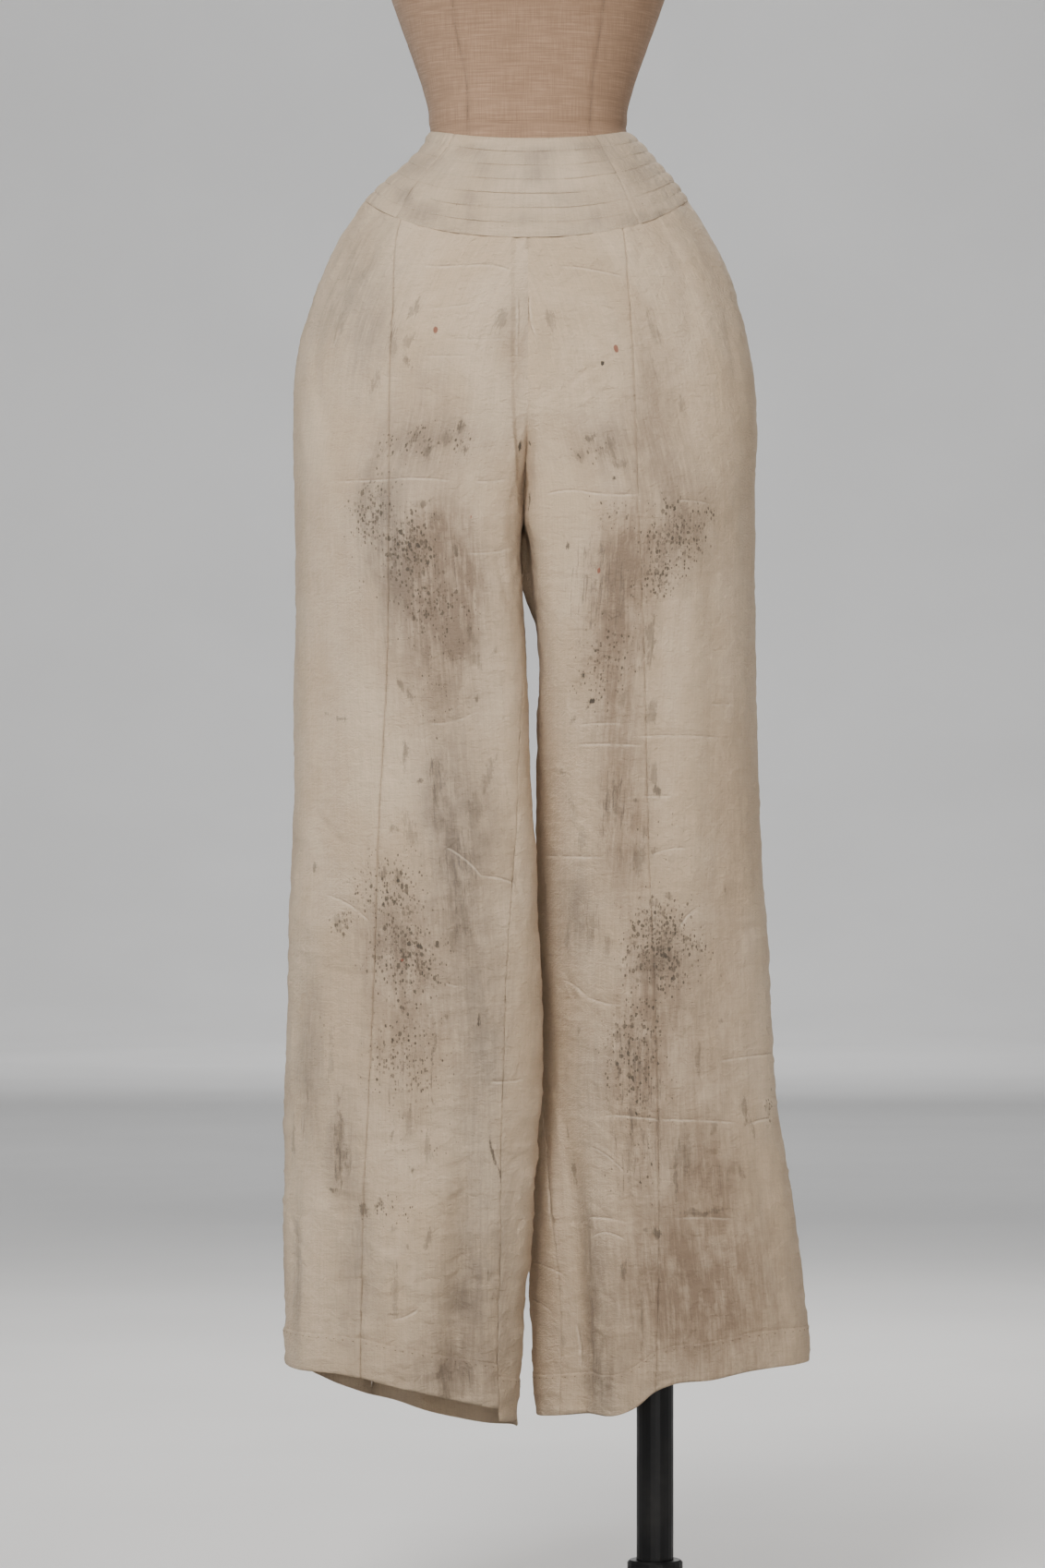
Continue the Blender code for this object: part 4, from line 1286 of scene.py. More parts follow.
def waistband(part, finish):
    """The plain front with its tucks, or the elasticated rest with its gathers."""
    gap = SEAM_GAP / WAIST_TURN
    if part == "front":
        start, end, columns = -FRONT_BAND_TURNS[-1], FRONT_BAND_TURNS[1], 145
    else:
        start, end, columns = FRONT_BAND_TURNS[1], 2 - FRONT_BAND_TURNS[-1], 337
    turns = np.linspace(start + gap, end - gap, columns)[None, :]
    folded = np.where(turns <= 1, turns, turns - 2)
    steps = np.array([0, 0.05, 0.13, 0.25, 0.4, 0.55, 0.7, 0.82, 0.92, 0.975])
    share = np.append((np.arange(CHANNELS)[:, None] + steps).ravel() / CHANNELS, 1.0)
    within = np.append(np.tile(steps, CHANNELS), 1.0)[:, None]
    level = np.append(np.repeat(np.arange(CHANNELS), len(steps)), CHANNELS - 1)[:, None]
    share = share[:, None]
    top, foot = band_top(np.abs(folded)), band_foot(np.abs(folded))
    drop = mixed(top, foot, share)
    place = stacked(turns * WAIST_TURN / 0.018, level * 3.7, 0.0 * drop)
    inside = (share > 0.001) & (share < 0.999)
    drop = drop + 0.45 * MM * noise(place, 31) * inside
    points, out = around_body(drop, np.repeat(folded, len(drop), axis=0))
    length = turns * WAIST_TURN
    # Each tuck laps over the next one down
    beside = eased(np.abs(points[..., 0]) / 0.04 - 1)
    uneven = 0.8 + 0.35 * noise(place * (0.7, 1, 1), 37) - 0.5 * beside
    height = TUCK_STEP * uneven * within**1.2 + 0.35 * MM * np.sin(math.pi * within)
    height = height * (1 - 0.35 * (share > 0.999))
    fine = stacked(length / 0.0034, drop / 0.012, 0.0)
    wide = stacked(length / 0.011, drop / 0.02, 0.0)
    first, last = turns[0, 0], turns[0, -1]
    ends = np.minimum(turns - first, last - turns)
    if part == "front":
        edge = 0.25 + 0.75 * np.exp(-ends / 0.03)
        height = height + 0.22 * MM * edge * noise(fine / (1.6, 1, 1), 32)
        height = height + 0.3 * MM * noise(wide, 33) * edge
    else:
        strength = eased((ends - 0.03) / (2.4 * GATHER_RISE))
        wander = 0.42 * noise(place * (0.5, 1, 1), 34)
        phase = (turns - first) / (last - first) * 2 * GATHERS + wander
        crest = np.sin(math.pi / 2 * phase) ** 2
        puffed = PINCHED + (1 - PINCHED) * np.sin(math.pi * within) ** 0.8
        height = height * (1 - 0.35 * strength) + GATHER_DEPTH * crest * puffed * strength
        height = height + (0.34 + 0.2 * strength) * MM * noise(fine, 35) * puffed
    height = height + 0.07 * MM * noise(points / 0.004, 36)
    height = height - 0.5 * MM * bell(ends * WAIST_TURN, 0.9 * MM)
    height = height - 0.5 * MM * eased(1 - share / 0.012)
    height = np.minimum(height, TUCK_STEP + GATHER_DEPTH + 0.8 * MM)
    shown = points + out * height[..., None]
    marks, layers = band_stains(points)
    # Painted shadow just below each tuck's lapping edge and along the band's top, and a darker line
    # by the stitching at each channel's foot, both weaker on the sides of the hips
    line = 0.55 * np.exp(-within / 0.05) + 0.3 * np.exp(-(1 - within) / 0.02)
    layers[..., 3] = np.clip(line * uneven * (1 - 0.5 * (share > 0.999)), 0, 1)
    kept = {"flat": stacked(length, drop, 2.0), "marks": marks, "washes_and_shade": layers}
    made = shell(f"waistband_{part}_cloth", shown, out, finish, kept, BAND_SHELL)
    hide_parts(f"waistband_{part}")
    rows = [k * len(steps) - 2 for k in range(1, CHANNELS)] + [len(share) - 4]
    return made, [(shown[k], out[k]) for k in rows]


def along_line(points, out, pitch, uneven, seed):
    """Places at an even pitch along a line: middle, direction, outward direction."""
    step = np.linalg.norm(np.diff(points, axis=0), axis=1)
    run = np.concatenate([[0], np.cumsum(step)])
    at = np.arange(pitch / 2, run[-1], pitch)
    at = at + np.random.default_rng(seed).uniform(-uneven, uneven, len(at)) * pitch
    middle, ahead = (
        np.stack([np.interp(a, run, points[:, k]) for k in range(3)], axis=-1)
        for a in (at, at + 0.5 * MM)
    )
    lifted = np.stack([np.interp(at, run, out[:, k]) for k in range(3)], axis=-1)
    way = ahead - middle
    way = way / np.maximum(np.linalg.norm(way, axis=1, keepdims=True), 1e-9)
    keep = np.linalg.norm(ahead - middle, axis=1) > 0.2 * MM
    return middle[keep], way[keep], lifted[keep]


def stitches(name, kind, lines, finish):
    """Short bent threads along lines, each with its own seed, all in one mesh."""
    pitch, uneven, length, radius = STITCHES[kind]
    lines = [along_line(points, out, pitch, uneven, seed) for points, out, seed in lines]
    middle, way, out = (np.concatenate([line[k] for line in lines]) for k in range(3))
    across = np.cross(way, out)
    k = np.arange(THREAD_SIDES)
    rings = []
    for share, lift, thick in THREAD_RINGS:
        centre = middle + way * share * length + out * lift * radius
        for a in k * 2 * math.pi / THREAD_SIDES:
            rings.append(centre + radius * thick * (across * math.cos(a) + out * math.sin(a)))
    points = np.stack(rings, axis=1)
    start = (np.arange(points.shape[0]) * points.shape[1])[:, None, None]
    last = points.shape[1] - THREAD_SIDES
    ring = np.arange(0, last, THREAD_SIDES)[:, None]
    after = ring + (k + 1) % THREAD_SIDES
    quads = stacked(ring + k, after, after + THREAD_SIDES, ring + THREAD_SIDES + k)
    k = k[1:-1]
    caps = np.concatenate([stacked(0, k + 1, k), stacked(last, last + k, last + k + 1)])
    quads, caps = quads.reshape(-1, 4) + start, caps + start
    made = new_object(
        name, points.reshape(-1, 3), quads.reshape(-1, 4), caps.reshape(-1, 3), finish
    )
    return made


def form_cover(finish):
    """The linen cover of the dress form, with its sewn seams. It returns the seam lines too."""
    turns = np.linspace(-1, 1, FORM_COLUMNS + 1)[None, :]
    rings = []
    edge = TORSO_BOTTOM - ROUNDING
    for angle in np.radians(np.linspace(0, 90, 7)):
        points, out = around_body(np.full(turns.shape, edge), turns)
        depth = smooth(TORSO_INSET, "inset", edge) + ROUNDING * (1 - math.sin(angle))
        points = points - out * (CLOTH + BODY_GAP + depth)
        points[..., 2] = WAIST_Z - edge - ROUNDING * math.cos(angle)
        rings.append(points)
    for drop in np.linspace(0.200, 0.002, 34):
        points, out = around_body(np.full(turns.shape, drop), turns)
        rings.append(points - out * (CLOTH + BODY_GAP + smooth(TORSO_INSET, "inset", drop)))
    beta = math.pi * turns
    for rise in np.linspace(0.004, TORSO["rise"][-1], 118):
        half, front, back = (smooth(TORSO, c, rise, key="rise") for c in ("half", "front", "back"))
        x = half * power(np.sin(beta), BODY_POWER)
        y = -np.where(np.cos(beta) > 0, front, back) * power(np.cos(beta), BODY_POWER)
        rings.append(stacked(x, y, WAIST_Z + rise))
    points = np.vstack(rings)
    across = np.gradient(points, axis=1)
    across[:, 0] = across[:, -1] = points[:, 1] - points[:, -2]
    out = np.cross(across, np.gradient(points, axis=0))
    out = out / np.linalg.norm(out, axis=-1, keepdims=True)

    # How far each point lies from a seam: two on the front, two and the middle one behind, and
    # one down each side
    x, y, rise = points[..., 0], points[..., 1], points[..., 2] - WAIST_Z
    on_front = y < 0
    seam = np.full(x.shape, FAR)
    right, left = (smooth(FORM_SEAMS, c, rise, key="rise") for c in ("right", "left"))
    for at in (right, left):
        for shown, line in ((on_front, at), (~on_front, at * 0.92)):
            seam = np.where(shown, np.minimum(seam, np.abs(x - line)), seam)
    seam = np.minimum(seam, np.where(~on_front, np.abs(x), FAR))
    seam = np.minimum(seam, np.where(np.abs(x) > 60 * MM, np.abs(y - 4 * MM), FAR))

    height = 0.25 * MM * noise(points / 0.05, 51) + 0.06 * MM * noise(points / 0.009, 52)
    height -= 0.55 * MM * bell(seam, 1.3 * MM)
    height += 0.22 * MM * noise(stacked(rise / 0.006, 0.0, 0.0), 53) * np.exp(-seam / (5 * MM))
    height *= eased((TORSO["rise"][-1] - rise) / 0.004)
    points = points + out * height[..., None]
    layer = np.zeros((*seam.shape, 4))
    layer[..., 3] = np.clip(np.exp(-seam / (1.2 * MM)), 0, 1)
    # The length around stands for the flat place, so that the weave runs with the cover
    step = np.linalg.norm(np.diff(points, axis=1), axis=-1)
    run = np.concatenate([np.zeros((len(points), 1)), np.cumsum(step, axis=1)], axis=1)
    middle = FORM_COLUMNS // 2
    flat = stacked(run - run[:, middle : middle + 1], rise, 4.0)

    lines = []
    rows = np.flatnonzero(rise[:, 0] > 0.003)
    for at, shown in ((right, on_front), (left, on_front), (0 * rise, ~on_front)):
        column = np.argmin(np.where(shown, np.abs(points[..., 0] - at), FAR)[rows], axis=1)
        picked = points[rows, column]
        picked[:, 0] += at[rows, column] - picked[:, 0]
        lines.append((picked, out[rows, column]))

    rows, columns = points.shape[:2]
    ring = columns - 1
    index = np.arange(rows)[:, None] * ring + np.arange(columns)[None, :] % ring
    quads = stacked(index[:-1, :-1], index[:-1, 1:], index[1:, 1:], index[1:, :-1])
    ends = np.array([points[0, :-1].mean(axis=0), points[-1, :-1].mean(axis=0)])
    first = stacked(index[0, 1:], index[0, :-1], rows * ring)
    last = stacked(index[-1, :-1], index[-1, 1:], rows * ring + 1)

    def closed(values, ends):
        """Values of the rings, each without its repeated last point, then of the two ends."""
        return np.concatenate([values[:, :-1].reshape(-1, values.shape[-1]), ends])

    made = new_object(
        "form_cover",
        closed(points, ends),
        quads.reshape(-1, 4),
        np.concatenate([first, last]),
        finish,
        {"flat": closed(flat, np.zeros((2, 3))), "washes_and_shade": closed(layer, np.zeros((2, 4)))},
    )
    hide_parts("form_torso")
    return made, lines


# Materials


class Finish:
    """A material being made: each call adds a node and returns its output."""

    def __init__(self, name):
        self.material = bpy.data.materials.new(name)
        self.material.use_nodes = True
        self.tree = self.material.node_tree
        self.shader = self.tree.nodes["Principled BSDF"]

    def put(self, value, socket):
        if isinstance(value, bpy.types.NodeSocket):
            self.tree.links.new(value, socket)
        else:
            socket.default_value = value

    def node(self, kind, inputs=(), output=0, **settings):
        made = self.tree.nodes.new("ShaderNode" + kind)
        for key, value in settings.items():
            setattr(made, key, value)
        for key, value in dict(inputs).items():
            self.put(value, made.inputs[key])
        return made.outputs[output]

    def math(self, operation, a, b=0.0, c=0.0, clamp=False):
        return self.node("Math", {0: a, 1: b, 2: c}, operation=operation, use_clamp=clamp)

    def plus(self, a, b):
        return self.math("ADD", a, b)

    def minus(self, a, b):
        return self.math("SUBTRACT", a, b)

    def times(self, a, b, clamp=False):
        return self.math("MULTIPLY", a, b, clamp=clamp)

    def times_plus(self, a, b, c):
        return self.math("MULTIPLY_ADD", a, b, c)

    def layer(self, name, output="Color"):
        return self.node("Attribute", output=output, attribute_name=name)

    def split(self, colour):
        made = self.node("SeparateColor", {"Color": colour}).node
        return made.outputs[0], made.outputs[1], made.outputs[2]

    def scaled(self, vector, scale):
        return self.node("VectorMath", {0: vector, 1: scale}, operation="MULTIPLY")

    def moved(self, vector, by):
        return self.node("VectorMath", {0: vector, 1: by}, operation="ADD")

    def place(self):
        return self.node("NewGeometry", output="Position")

    def noise(self, vector, scale, detail, roughness, distortion=0.0):
        inputs = {"Vector": vector, "Scale": scale, "Detail": detail, "Roughness": roughness}
        return self.node("TexNoise", {**inputs, "Distortion": distortion})

    def grain(self, vector, scale, detail, roughness, distortion=0.0, seed=0):
        """Noise with its own scale for each direction."""
        if seed:
            vector = self.moved(vector, (0, 0, seed))
        return self.noise(self.scaled(vector, scale), 1, detail, roughness, distortion)

    def ramp(self, value, low, high, to=(0.0, 1.0)):
        inputs = {"Value": value, "From Min": low, "From Max": high}
        inputs |= {"To Min": to[0], "To Max": to[1]}
        return self.node("MapRange", inputs, interpolation_type="SMOOTHSTEP")

    def mix(self, share, a, b):
        made = self.node("Mix", {0: share}, data_type="RGBA").node
        for key, value in ((6, a), (7, b)):
            self.put((*value, 1) if isinstance(value, tuple) else value, made.inputs[key])
        return made.outputs[2]

    def bump(self, height, distance, strength):
        return self.node("Bump", {"Height": height, "Distance": distance, "Strength": strength})

    def finish(self, **values):
        for key, value in values.items():
            self.put(value, self.shader.inputs[key.replace("_", " ")])
        return self.material


def trouser_cotton(name, clean=(0.645, 0.52, 0.39), broken=0.55):
    """Undyed crinkled cotton with its stains, some painted shade, and the painted shade and
    highlight of pressed creases.

    The layers say where the stains and the painted shade lie, and noise gives their edges.
    """
    f = Finish(name)
    flat = f.layer("flat", "Vector")
    marks, washes_and_shade = f.layer("marks"), f.layer("washes_and_shade")
    shape, tone, specks = f.split(marks)
    streaks = f.layer("marks", "Alpha")
    amount, hue, rust = f.split(washes_and_shade)
    dark_lines = f.layer("washes_and_shade", "Alpha")

    # Threads
    warp = f.grain(flat, (1500, 60, 1), 2, 0.6)
    weft = f.grain(flat, (60, 1500, 1), 2, 0.6)
    slub = f.grain(flat, (420, 14, 1), 3, 0.6)
    crepe = f.grain(flat, (480, 560, 1), 3, 0.6)
    ripple = f.grain(flat, (125, 190, 1), 4, 0.6, 0.8, seed=9)
    cloudy = f.grain(flat, (16, 11, 1), 4, 0.6)

    clean_low = tuple(c * k for c, k in zip(clean, (0.90, 0.875, 0.84)))
    colour = f.mix(f.ramp(cloudy, 0.35, 0.65), clean, clean_low)
    threads = f.plus(f.plus(warp, weft), slub)
    colour = f.mix(f.ramp(threads, 1.1, 1.9, (0.0, 0.20)), colour, (0.30, 0.25, 0.19))
    colour = f.mix(f.ramp(crepe, 0.5, 0.8, (0.0, 0.14)), colour, (0.32, 0.27, 0.22))

    # Washes, with the painted shade that their layer also holds: soft, drawn down along the
    # threads, and broken up into darker patches
    patchy = f.grain(flat, (70, 34, 1), 4, 0.65, seed=3)
    brushed = f.grain(flat, (420, 30, 1), 4, 0.62, seed=5)
    uneven = f.times_plus(brushed, 0.55, f.times(patchy, 0.65))
    wash_and_shade_colour = f.mix(hue, (0.235, 0.208, 0.18), (0.27, 0.188, 0.128))
    washed_and_shaded = f.times(amount, f.ramp(uneven, 0.40, 0.76, (0.55, 1.3)), clamp=True)
    colour = f.mix(f.times(washed_and_shaded, 0.92), colour, wash_and_shade_colour)
    mottle = f.grain(flat, (210, 88, 1), 6, 0.68, 0.4, seed=19)
    patches = f.ramp(f.times_plus(streaks, 0.15, mottle), 0.64, 0.76, (0.0, broken))
    patches = f.times(patches, f.ramp(streaks, 0.1, 0.8))
    colour = f.mix(patches, colour, f.mix(hue, (0.22, 0.20, 0.185), (0.235, 0.175, 0.125)))

    # Dry streaks down the cloth
    drawn = f.grain(flat, (560, 40, 1), 5, 0.66, seed=7)
    limit = f.times_plus(streaks, -0.17, 0.67)
    streaky = f.ramp(f.minus(drawn, limit), 0.0, 0.06)
    streaky = f.times(streaky, f.ramp(streaks, 0.02, 0.5, (0.0, 0.52)))
    colour = f.mix(streaky, colour, (0.165, 0.135, 0.11))

    # Marks with ragged edges, the darker ones crisp and the faint ones soft
    ragged = f.grain(flat, (290, 120, 1), 6, 0.72, 0.3, seed=11)
    field = f.plus(shape, f.times_plus(ragged, 2.3, -1.15))
    field = f.times_plus(drawn, 0.8, f.plus(field, -0.4))
    crisp = f.times(f.ramp(field, 0.5, 0.62), f.ramp(drawn, 0.35, 0.62, (0.30, 0.80)))
    blurred = f.ramp(field, 0.2, 0.9, (0.0, 0.55))
    level = f.times(tone, f.ramp(tone, 0.3, 0.8, (0.62, 1.0)))
    blot = f.times(f.plus(crisp, blurred), level, clamp=True)
    colour = f.mix(blot, colour, (0.115, 0.097, 0.078))

    # Specks in three sizes, longer than wide
    bent = f.node("TexNoise", {"Vector": f.scaled(flat, (800, 600, 1)), "Scale": 1.0}, output=1)
    for seed, scale, size, share in (
        (13, (520, 330, 1), 0.52, 0.85),
        (17, (290, 190, 1), 0.50, 0.62),
        (23, (150, 105, 1), 0.38, 0.36),
    ):
        place = f.scaled(f.moved(flat, (0, 0, seed)), scale)
        place = f.moved(place, f.scaled(bent, (0.55, 0.55, 0)))
        cell = f.node("TexVoronoi", {"Vector": place, "Scale": 1.0}, feature="F1").node
        chance, dark, _ = f.split(cell.outputs["Color"])
        least = f.times_plus(specks, -share, 1.0)
        reach = f.times(f.minus(chance, least), size / 0.3)
        reach = f.math("MINIMUM", reach, size)
        spot = f.ramp(f.minus(reach, cell.outputs["Distance"]), -0.02, 0.07)
        spot = f.times(spot, f.ramp(dark, 0.0, 1.0, (0.35, 0.8)))
        colour = f.mix(spot, colour, (0.10, 0.085, 0.068))

    # Where specks lie thickest, they run together into ragged spots
    spatter = f.grain(flat, (330, 230, 1), 5, 0.7, 0.5, seed=29)
    run = f.ramp(f.times_plus(specks, 0.16, spatter), 0.70, 0.76, (0.0, 0.62))
    run = f.times(run, f.ramp(specks, 0.2, 0.9))
    colour = f.mix(run, colour, (0.135, 0.112, 0.09))

    spots = f.plus(rust, f.times_plus(ragged, 0.5, -0.25))
    reddish = f.ramp(spots, 0.46, 0.6, (0.0, 0.75))
    colour = f.mix(reddish, colour, (0.26, 0.085, 0.06))
    # Dark seam lines, with painted shade in the hem's caught groove and below the waistband's
    # lapping tucks
    colour = f.mix(f.times(dark_lines, 0.26), colour, (0.24, 0.19, 0.145))

    # Pressed creases: painted shade as a thin dark line, and a painted highlight as a lighter band
    # below it
    below, strength, _ = f.split(f.layer("pressed_crease_light"))
    below = f.minus(below, 0.5)
    below = f.times_plus(below, PRESSED_BAND, f.times_plus(ripple, 1.6, -0.8))
    painted_crease_shade = f.ramp(f.math("ABSOLUTE", below), 0.25, 0.95, (1.0, 0.0))
    # The crest is the band of the painted highlight below the line
    crest = f.times(f.ramp(below, 0.5, 1.3), f.ramp(below, 1.6, 3.4, (1.0, 0.0)))
    uneven_crease_light = f.ramp(f.grain(flat, (120, 120, 1), 3, 0.6, seed=31), 0.34, 0.56, (0.25, 1.0))
    strength = f.times(strength, uneven_crease_light)
    colour = f.mix(f.times(f.times(painted_crease_shade, strength), 0.5), colour, (0.25, 0.195, 0.15))
    colour = f.mix(f.times(f.times(crest, strength), 0.4), colour, (0.76, 0.65, 0.52))

    relief = f.times(crepe, 0.5)
    relief = f.times_plus(ripple, 1.25, relief)
    relief = f.times_plus(f.plus(warp, weft), 0.2, relief)
    relief = f.times_plus(slub, 0.3, relief)
    return f.finish(
        Base_Color=colour,
        Roughness=f.ramp(threads, 1.0, 2.0, (0.82, 0.95)),
        Normal=f.bump(relief, 0.0018, 0.85),
        Sheen_Weight=0.12,
        Sheen_Roughness=0.5,
        Specular_IOR_Level=0.25,
    )


def form_linen():
    """The form's coarser linen, with a plain weave that shows close by."""
    f = Finish("form_linen_weave")
    flat = f.layer("flat", "Vector")
    dark_lines = f.layer("washes_and_shade", "Alpha")
    warp = f.grain(flat, (1250, 40, 1), 2, 0.6)
    weft = f.grain(flat, (40, 1250, 1), 2, 0.6)
    slub = f.grain(flat, (30, 520, 1), 3, 0.6)
    cloudy = f.grain(flat, (9, 7, 1), 4, 0.55)
    colour = f.mix(f.ramp(cloudy, 0.3, 0.7), (0.40, 0.267, 0.181), (0.348, 0.229, 0.153))
    threads = f.plus(f.plus(warp, weft), slub)
    colour = f.mix(f.ramp(threads, 1.15, 1.85, (0.0, 0.42)), colour, (0.21, 0.15, 0.11))
    colour = f.mix(f.ramp(threads, 1.6, 1.0, (0.0, 0.22)), colour, (0.60, 0.46, 0.35))
    colour = f.mix(f.times(dark_lines, 0.45), colour, (0.17, 0.12, 0.09))
    return f.finish(
        Base_Color=colour,
        Roughness=f.ramp(threads, 1.0, 2.0, (0.78, 0.92)),
        Normal=f.bump(threads, 0.0005, 0.5),
        Sheen_Weight=0.12,
        Specular_IOR_Level=0.3,
    )


def sewing_thread(name, colour):
    f = Finish(name)
    twist = f.grain(f.place(), (2400, 2400, 2400), 1, 0.5)
    shade = f.mix(f.ramp(twist, 0.35, 0.65), colour, tuple(0.72 * c for c in colour))
    return f.finish(
        Base_Color=shade, Roughness=0.7, Normal=f.bump(twist, 0.0002, 0.4), Sheen_Weight=0.1
    )


def satin_steel():
    """Black powder-coated steel with a little dust and handling."""
    f = Finish("satin_black_steel")
    place = f.place()
    grain = f.grain(place, (900, 900, 900), 2, 0.6)
    handled = f.grain(place, (9, 9, 9), 5, 0.65)
    colour = f.mix(f.ramp(handled, 0.4, 0.72), (0.018, 0.018, 0.019), (0.042, 0.040, 0.038))
    return f.finish(
        Base_Color=colour,
        Roughness=f.ramp(handled, 0.3, 0.75, (0.34, 0.56)),
        Metallic=0.35,
        Normal=f.bump(grain, 0.00025, 0.5),
    )


def turned_wood():
    """Dark stained wood, with rings about the upright axis."""
    f = Finish("dark_turned_wood")
    place = f.place()
    warped = f.grain(place, (18, 18, 60), 4, 0.6)
    grain = f.grain(place, (40, 420, 420), 4, 0.7)
    mixed_grain = f.plus(f.times(warped, 0.6), f.times(grain, 0.5))
    colour = f.mix(f.ramp(mixed_grain, 0.35, 0.75), (0.062, 0.030, 0.016), (0.018, 0.009, 0.006))
    return f.finish(
        Base_Color=colour,
        Roughness=f.ramp(grain, 0.3, 0.7, (0.28, 0.42)),
        Normal=f.bump(grain, 0.0003, 0.4),
        Coat_Weight=0.3,
        Coat_Roughness=0.2,
    )


# Width and length of each cut piece, and its area where it isn't a rectangle
SHEETS = {
    "right": {
        "front": ((0.166, 1.070), 0.152),
        "side": ((0.350, 1.085), 0.320),
        "back": ((0.300, 1.225), 0.286),
    },
    "left": {
        "front": ((0.165, 1.085), 0.149),
        "side": ((0.370, 1.070), 0.346),
        "back": ((0.292, 1.232), 0.225),
    },
    "waistband": {"front": ((0.240, 0.112), 0.0213), "back": ((0.640, 0.112), 0.0600)},
}


def dress():
    cotton = trouser_cotton("crinkled_cotton")
    band = trouser_cotton("crinkled_cotton_band", (0.62, 0.505, 0.385), 0.12)
    thread = sewing_thread("cream_thread", (0.62, 0.54, 0.42))
    hem_thread = sewing_thread("hem_thread", (0.20, 0.145, 0.10))
    grey_thread = sewing_thread("form_thread", (0.30, 0.22, 0.16))

    cover, seam_lines = form_cover(form_linen())
    seam_lines = [(*line, 3) for line in seam_lines]
    stitches("form_seam_stitches", "form", seam_lines, grey_thread)
    for side, word in ((-1, "right"), (1, "left")):
        cloth = LegCloth(side)
        hem_lines = []
        panels = {}
        for number, panel in enumerate(("front", "side", "back")):
            panels[panel], (points, out) = leg_panel(cloth, panel, cotton)
            hem_lines.append((points[2:-2], out[2:-2], 7 * number + side + 1))
        sewn = stitches(f"{word}_hem_stitches", "hem", hem_lines, hem_thread)
        for panel, made in panels.items():
            flat, area = SHEETS[word][panel]
    for part in ("front", "back"):
        made, lines = waistband(part, band)
        lines = [(points[3:-3], out[3:-3], k) for k, (points, out) in enumerate(lines)]
        sewn = stitches(f"waistband_{part}_stitches", "band", lines, thread)
        flat, area = SHEETS["waistband"][part]

    steel, wood = satin_steel(), turned_wood()
    for part in ("base", "collar", "pole", "socket_plate", "socket_sleeve"):
        put_on(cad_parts["stand_" + part], steel)
    put_on(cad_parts["form_neck_cap"], wood)


def put_on(node, finish):
    node.data.materials.clear()
    node.data.materials.append(finish)


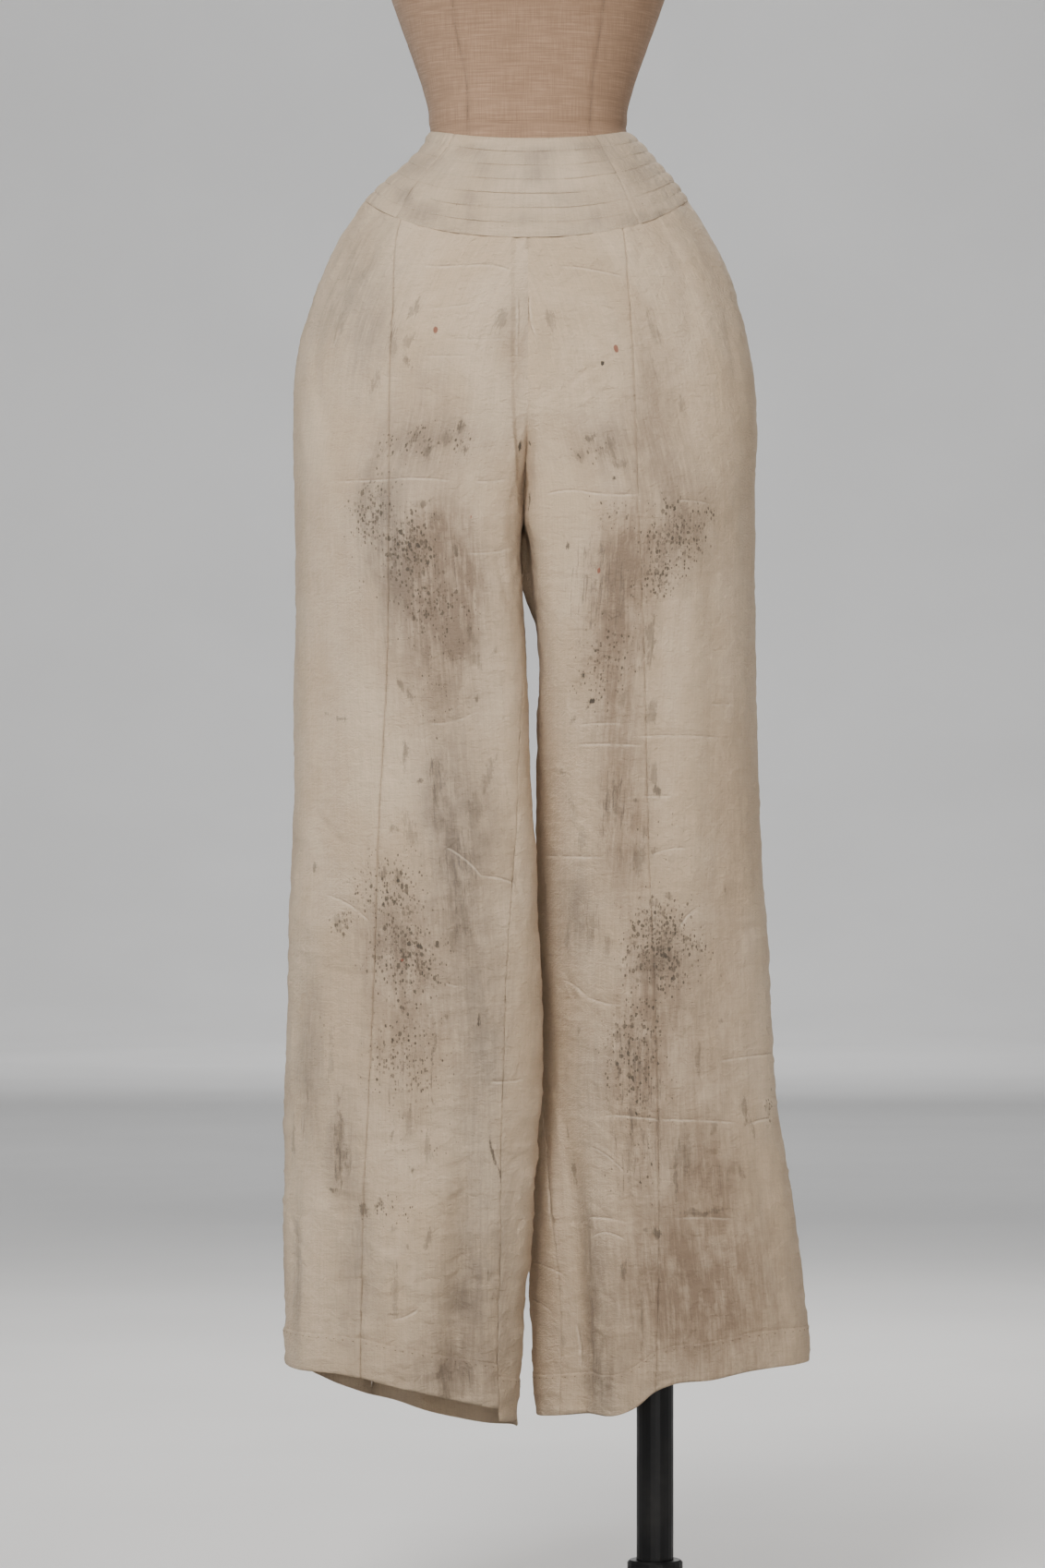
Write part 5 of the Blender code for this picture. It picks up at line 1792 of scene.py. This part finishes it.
def stage_and_camera():
    """A plain pale floor that curves up all round, soft lights, and the photograph's view."""
    bend = np.linspace(0, math.pi / 2, 16)
    edge = [FLOOR_FLAT + FLOOR_BEND]
    reach = np.concatenate([[0.0, 3.0], FLOOR_FLAT + FLOOR_BEND * np.sin(bend), edge])[:, None]
    rise = np.concatenate([[0.0, 0.0], FLOOR_BEND - FLOOR_BEND * np.cos(bend), [FLOOR_TOP]])
    around = np.linspace(0, 2 * math.pi, 97)
    rows = stacked(reach * np.cos(around), reach * np.sin(around), rise[:, None])
    mesh = bpy.data.meshes.new("floor")
    mesh.from_pydata(rows.reshape(-1, 3).tolist(), [], grid_faces(*rows.shape[:2]).tolist())
    mesh.shade_smooth()
    f = Finish("pale_floor")
    cloudy = f.noise(f.place(), 1.4, 3, 0.5)
    colour = f.mix(f.ramp(cloudy, 0.3, 0.7), (0.80, 0.795, 0.79), (0.77, 0.765, 0.76))
    mesh.materials.append(f.finish(Base_Color=colour, Roughness=0.85, Specular_IOR_Level=0.2))
    floor = bpy.data.objects.new("floor", mesh)
    bpy.context.scene.collection.objects.link(floor)

    world = bpy.data.worlds.new("studio")
    world.use_nodes = True
    sky = world.node_tree.nodes["Background"].inputs
    sky["Color"].default_value, sky["Strength"].default_value = (0.94, 0.97, 1.0, 1), 0.16
    bpy.context.scene.world = world
    bpy.context.scene.view_settings.look = "AgX - Medium High Contrast"

    # Name, place, target, size and energy, then the colour if it isn't white, and the spread if
    # it is narrow
    warm, white = (1.0, 0.985, 0.965), (1.0, 1.0, 1.0)
    lamps = [
        ("key", (-0.75, -2.1, 2.9), (0, 0, 0.9), 0.8, 54, warm),
        ("low", (0.4, -4.4, 0.7), (0, 0, 0.9), 0.6, 3.5, warm, 50),
        ("fill_right", (3.0, -2.0, 1.9), (0, 0, 1.1), 1.6, 6, (1.0, 0.78, 0.58)),
        ("fill_left", (-3.0, -1.6, 1.7), (0, 0, 0.9), 1.6, 8, (0.90, 0.96, 1.0)),
        ("behind", (0.6, 2.8, 2.9), (0, 0, 0.9), 1.4, 70, (1.0, 0.98, 0.95)),
        ("floor_behind", (0, 6.5, 4.5), (0, 7.0, 0), 3.0, 75),
    ]
    ways = {"behind": (0, 1), "before": (0, -1), "left": (1, 0), "right": (-1, 0)}
    for word, (x, y) in list(ways.items())[1:]:
        lamps.append((f"floor_{word}", (7.5 * x, 7.5 * y, 4.5), (8 * x, 8 * y, 0), 3.0, 50))
    for word, (x, y) in ways.items():
        lamps.append((f"wall_{word}", (9 * x, 9 * y, 4.0), (14.4 * x, 14.4 * y, 3.0), 2.0, 150))
    for name, place, target, size, energy, *look in lamps:
        light = bpy.data.lights.new(name, "AREA")
        light.shape, light.size, light.energy = "SQUARE", size, energy
        light.color = look[0] if look else white
        if len(look) > 1:
            light.spread = math.radians(look[1])
        made = bpy.data.objects.new(name, light)
        made.visible_camera = False
        made.location = place
        x, y, z = np.array(target) - np.array(place)
        made.rotation_euler = (math.atan2(math.hypot(x, y), -z), 0, math.atan2(y, x) - math.pi / 2)
        bpy.context.scene.collection.objects.link(made)

    camera = bpy.data.cameras.new("camera")
    camera.lens = camera.sensor_width / PICTURE * CAMERA_DISTANCE
    made = bpy.data.objects.new("camera", camera)
    across, down = CENTRE_PX
    height = WAIST_Z - (down - WAIST_PX) * PIXEL
    made.location = ((across - MIDDLE_PX) * PIXEL, -CAMERA_DISTANCE, height)
    made.rotation_euler = (math.pi / 2, 0, 0)
    bpy.context.scene.collection.objects.link(made)
    bpy.context.scene.camera = made


dress()
stage_and_camera()
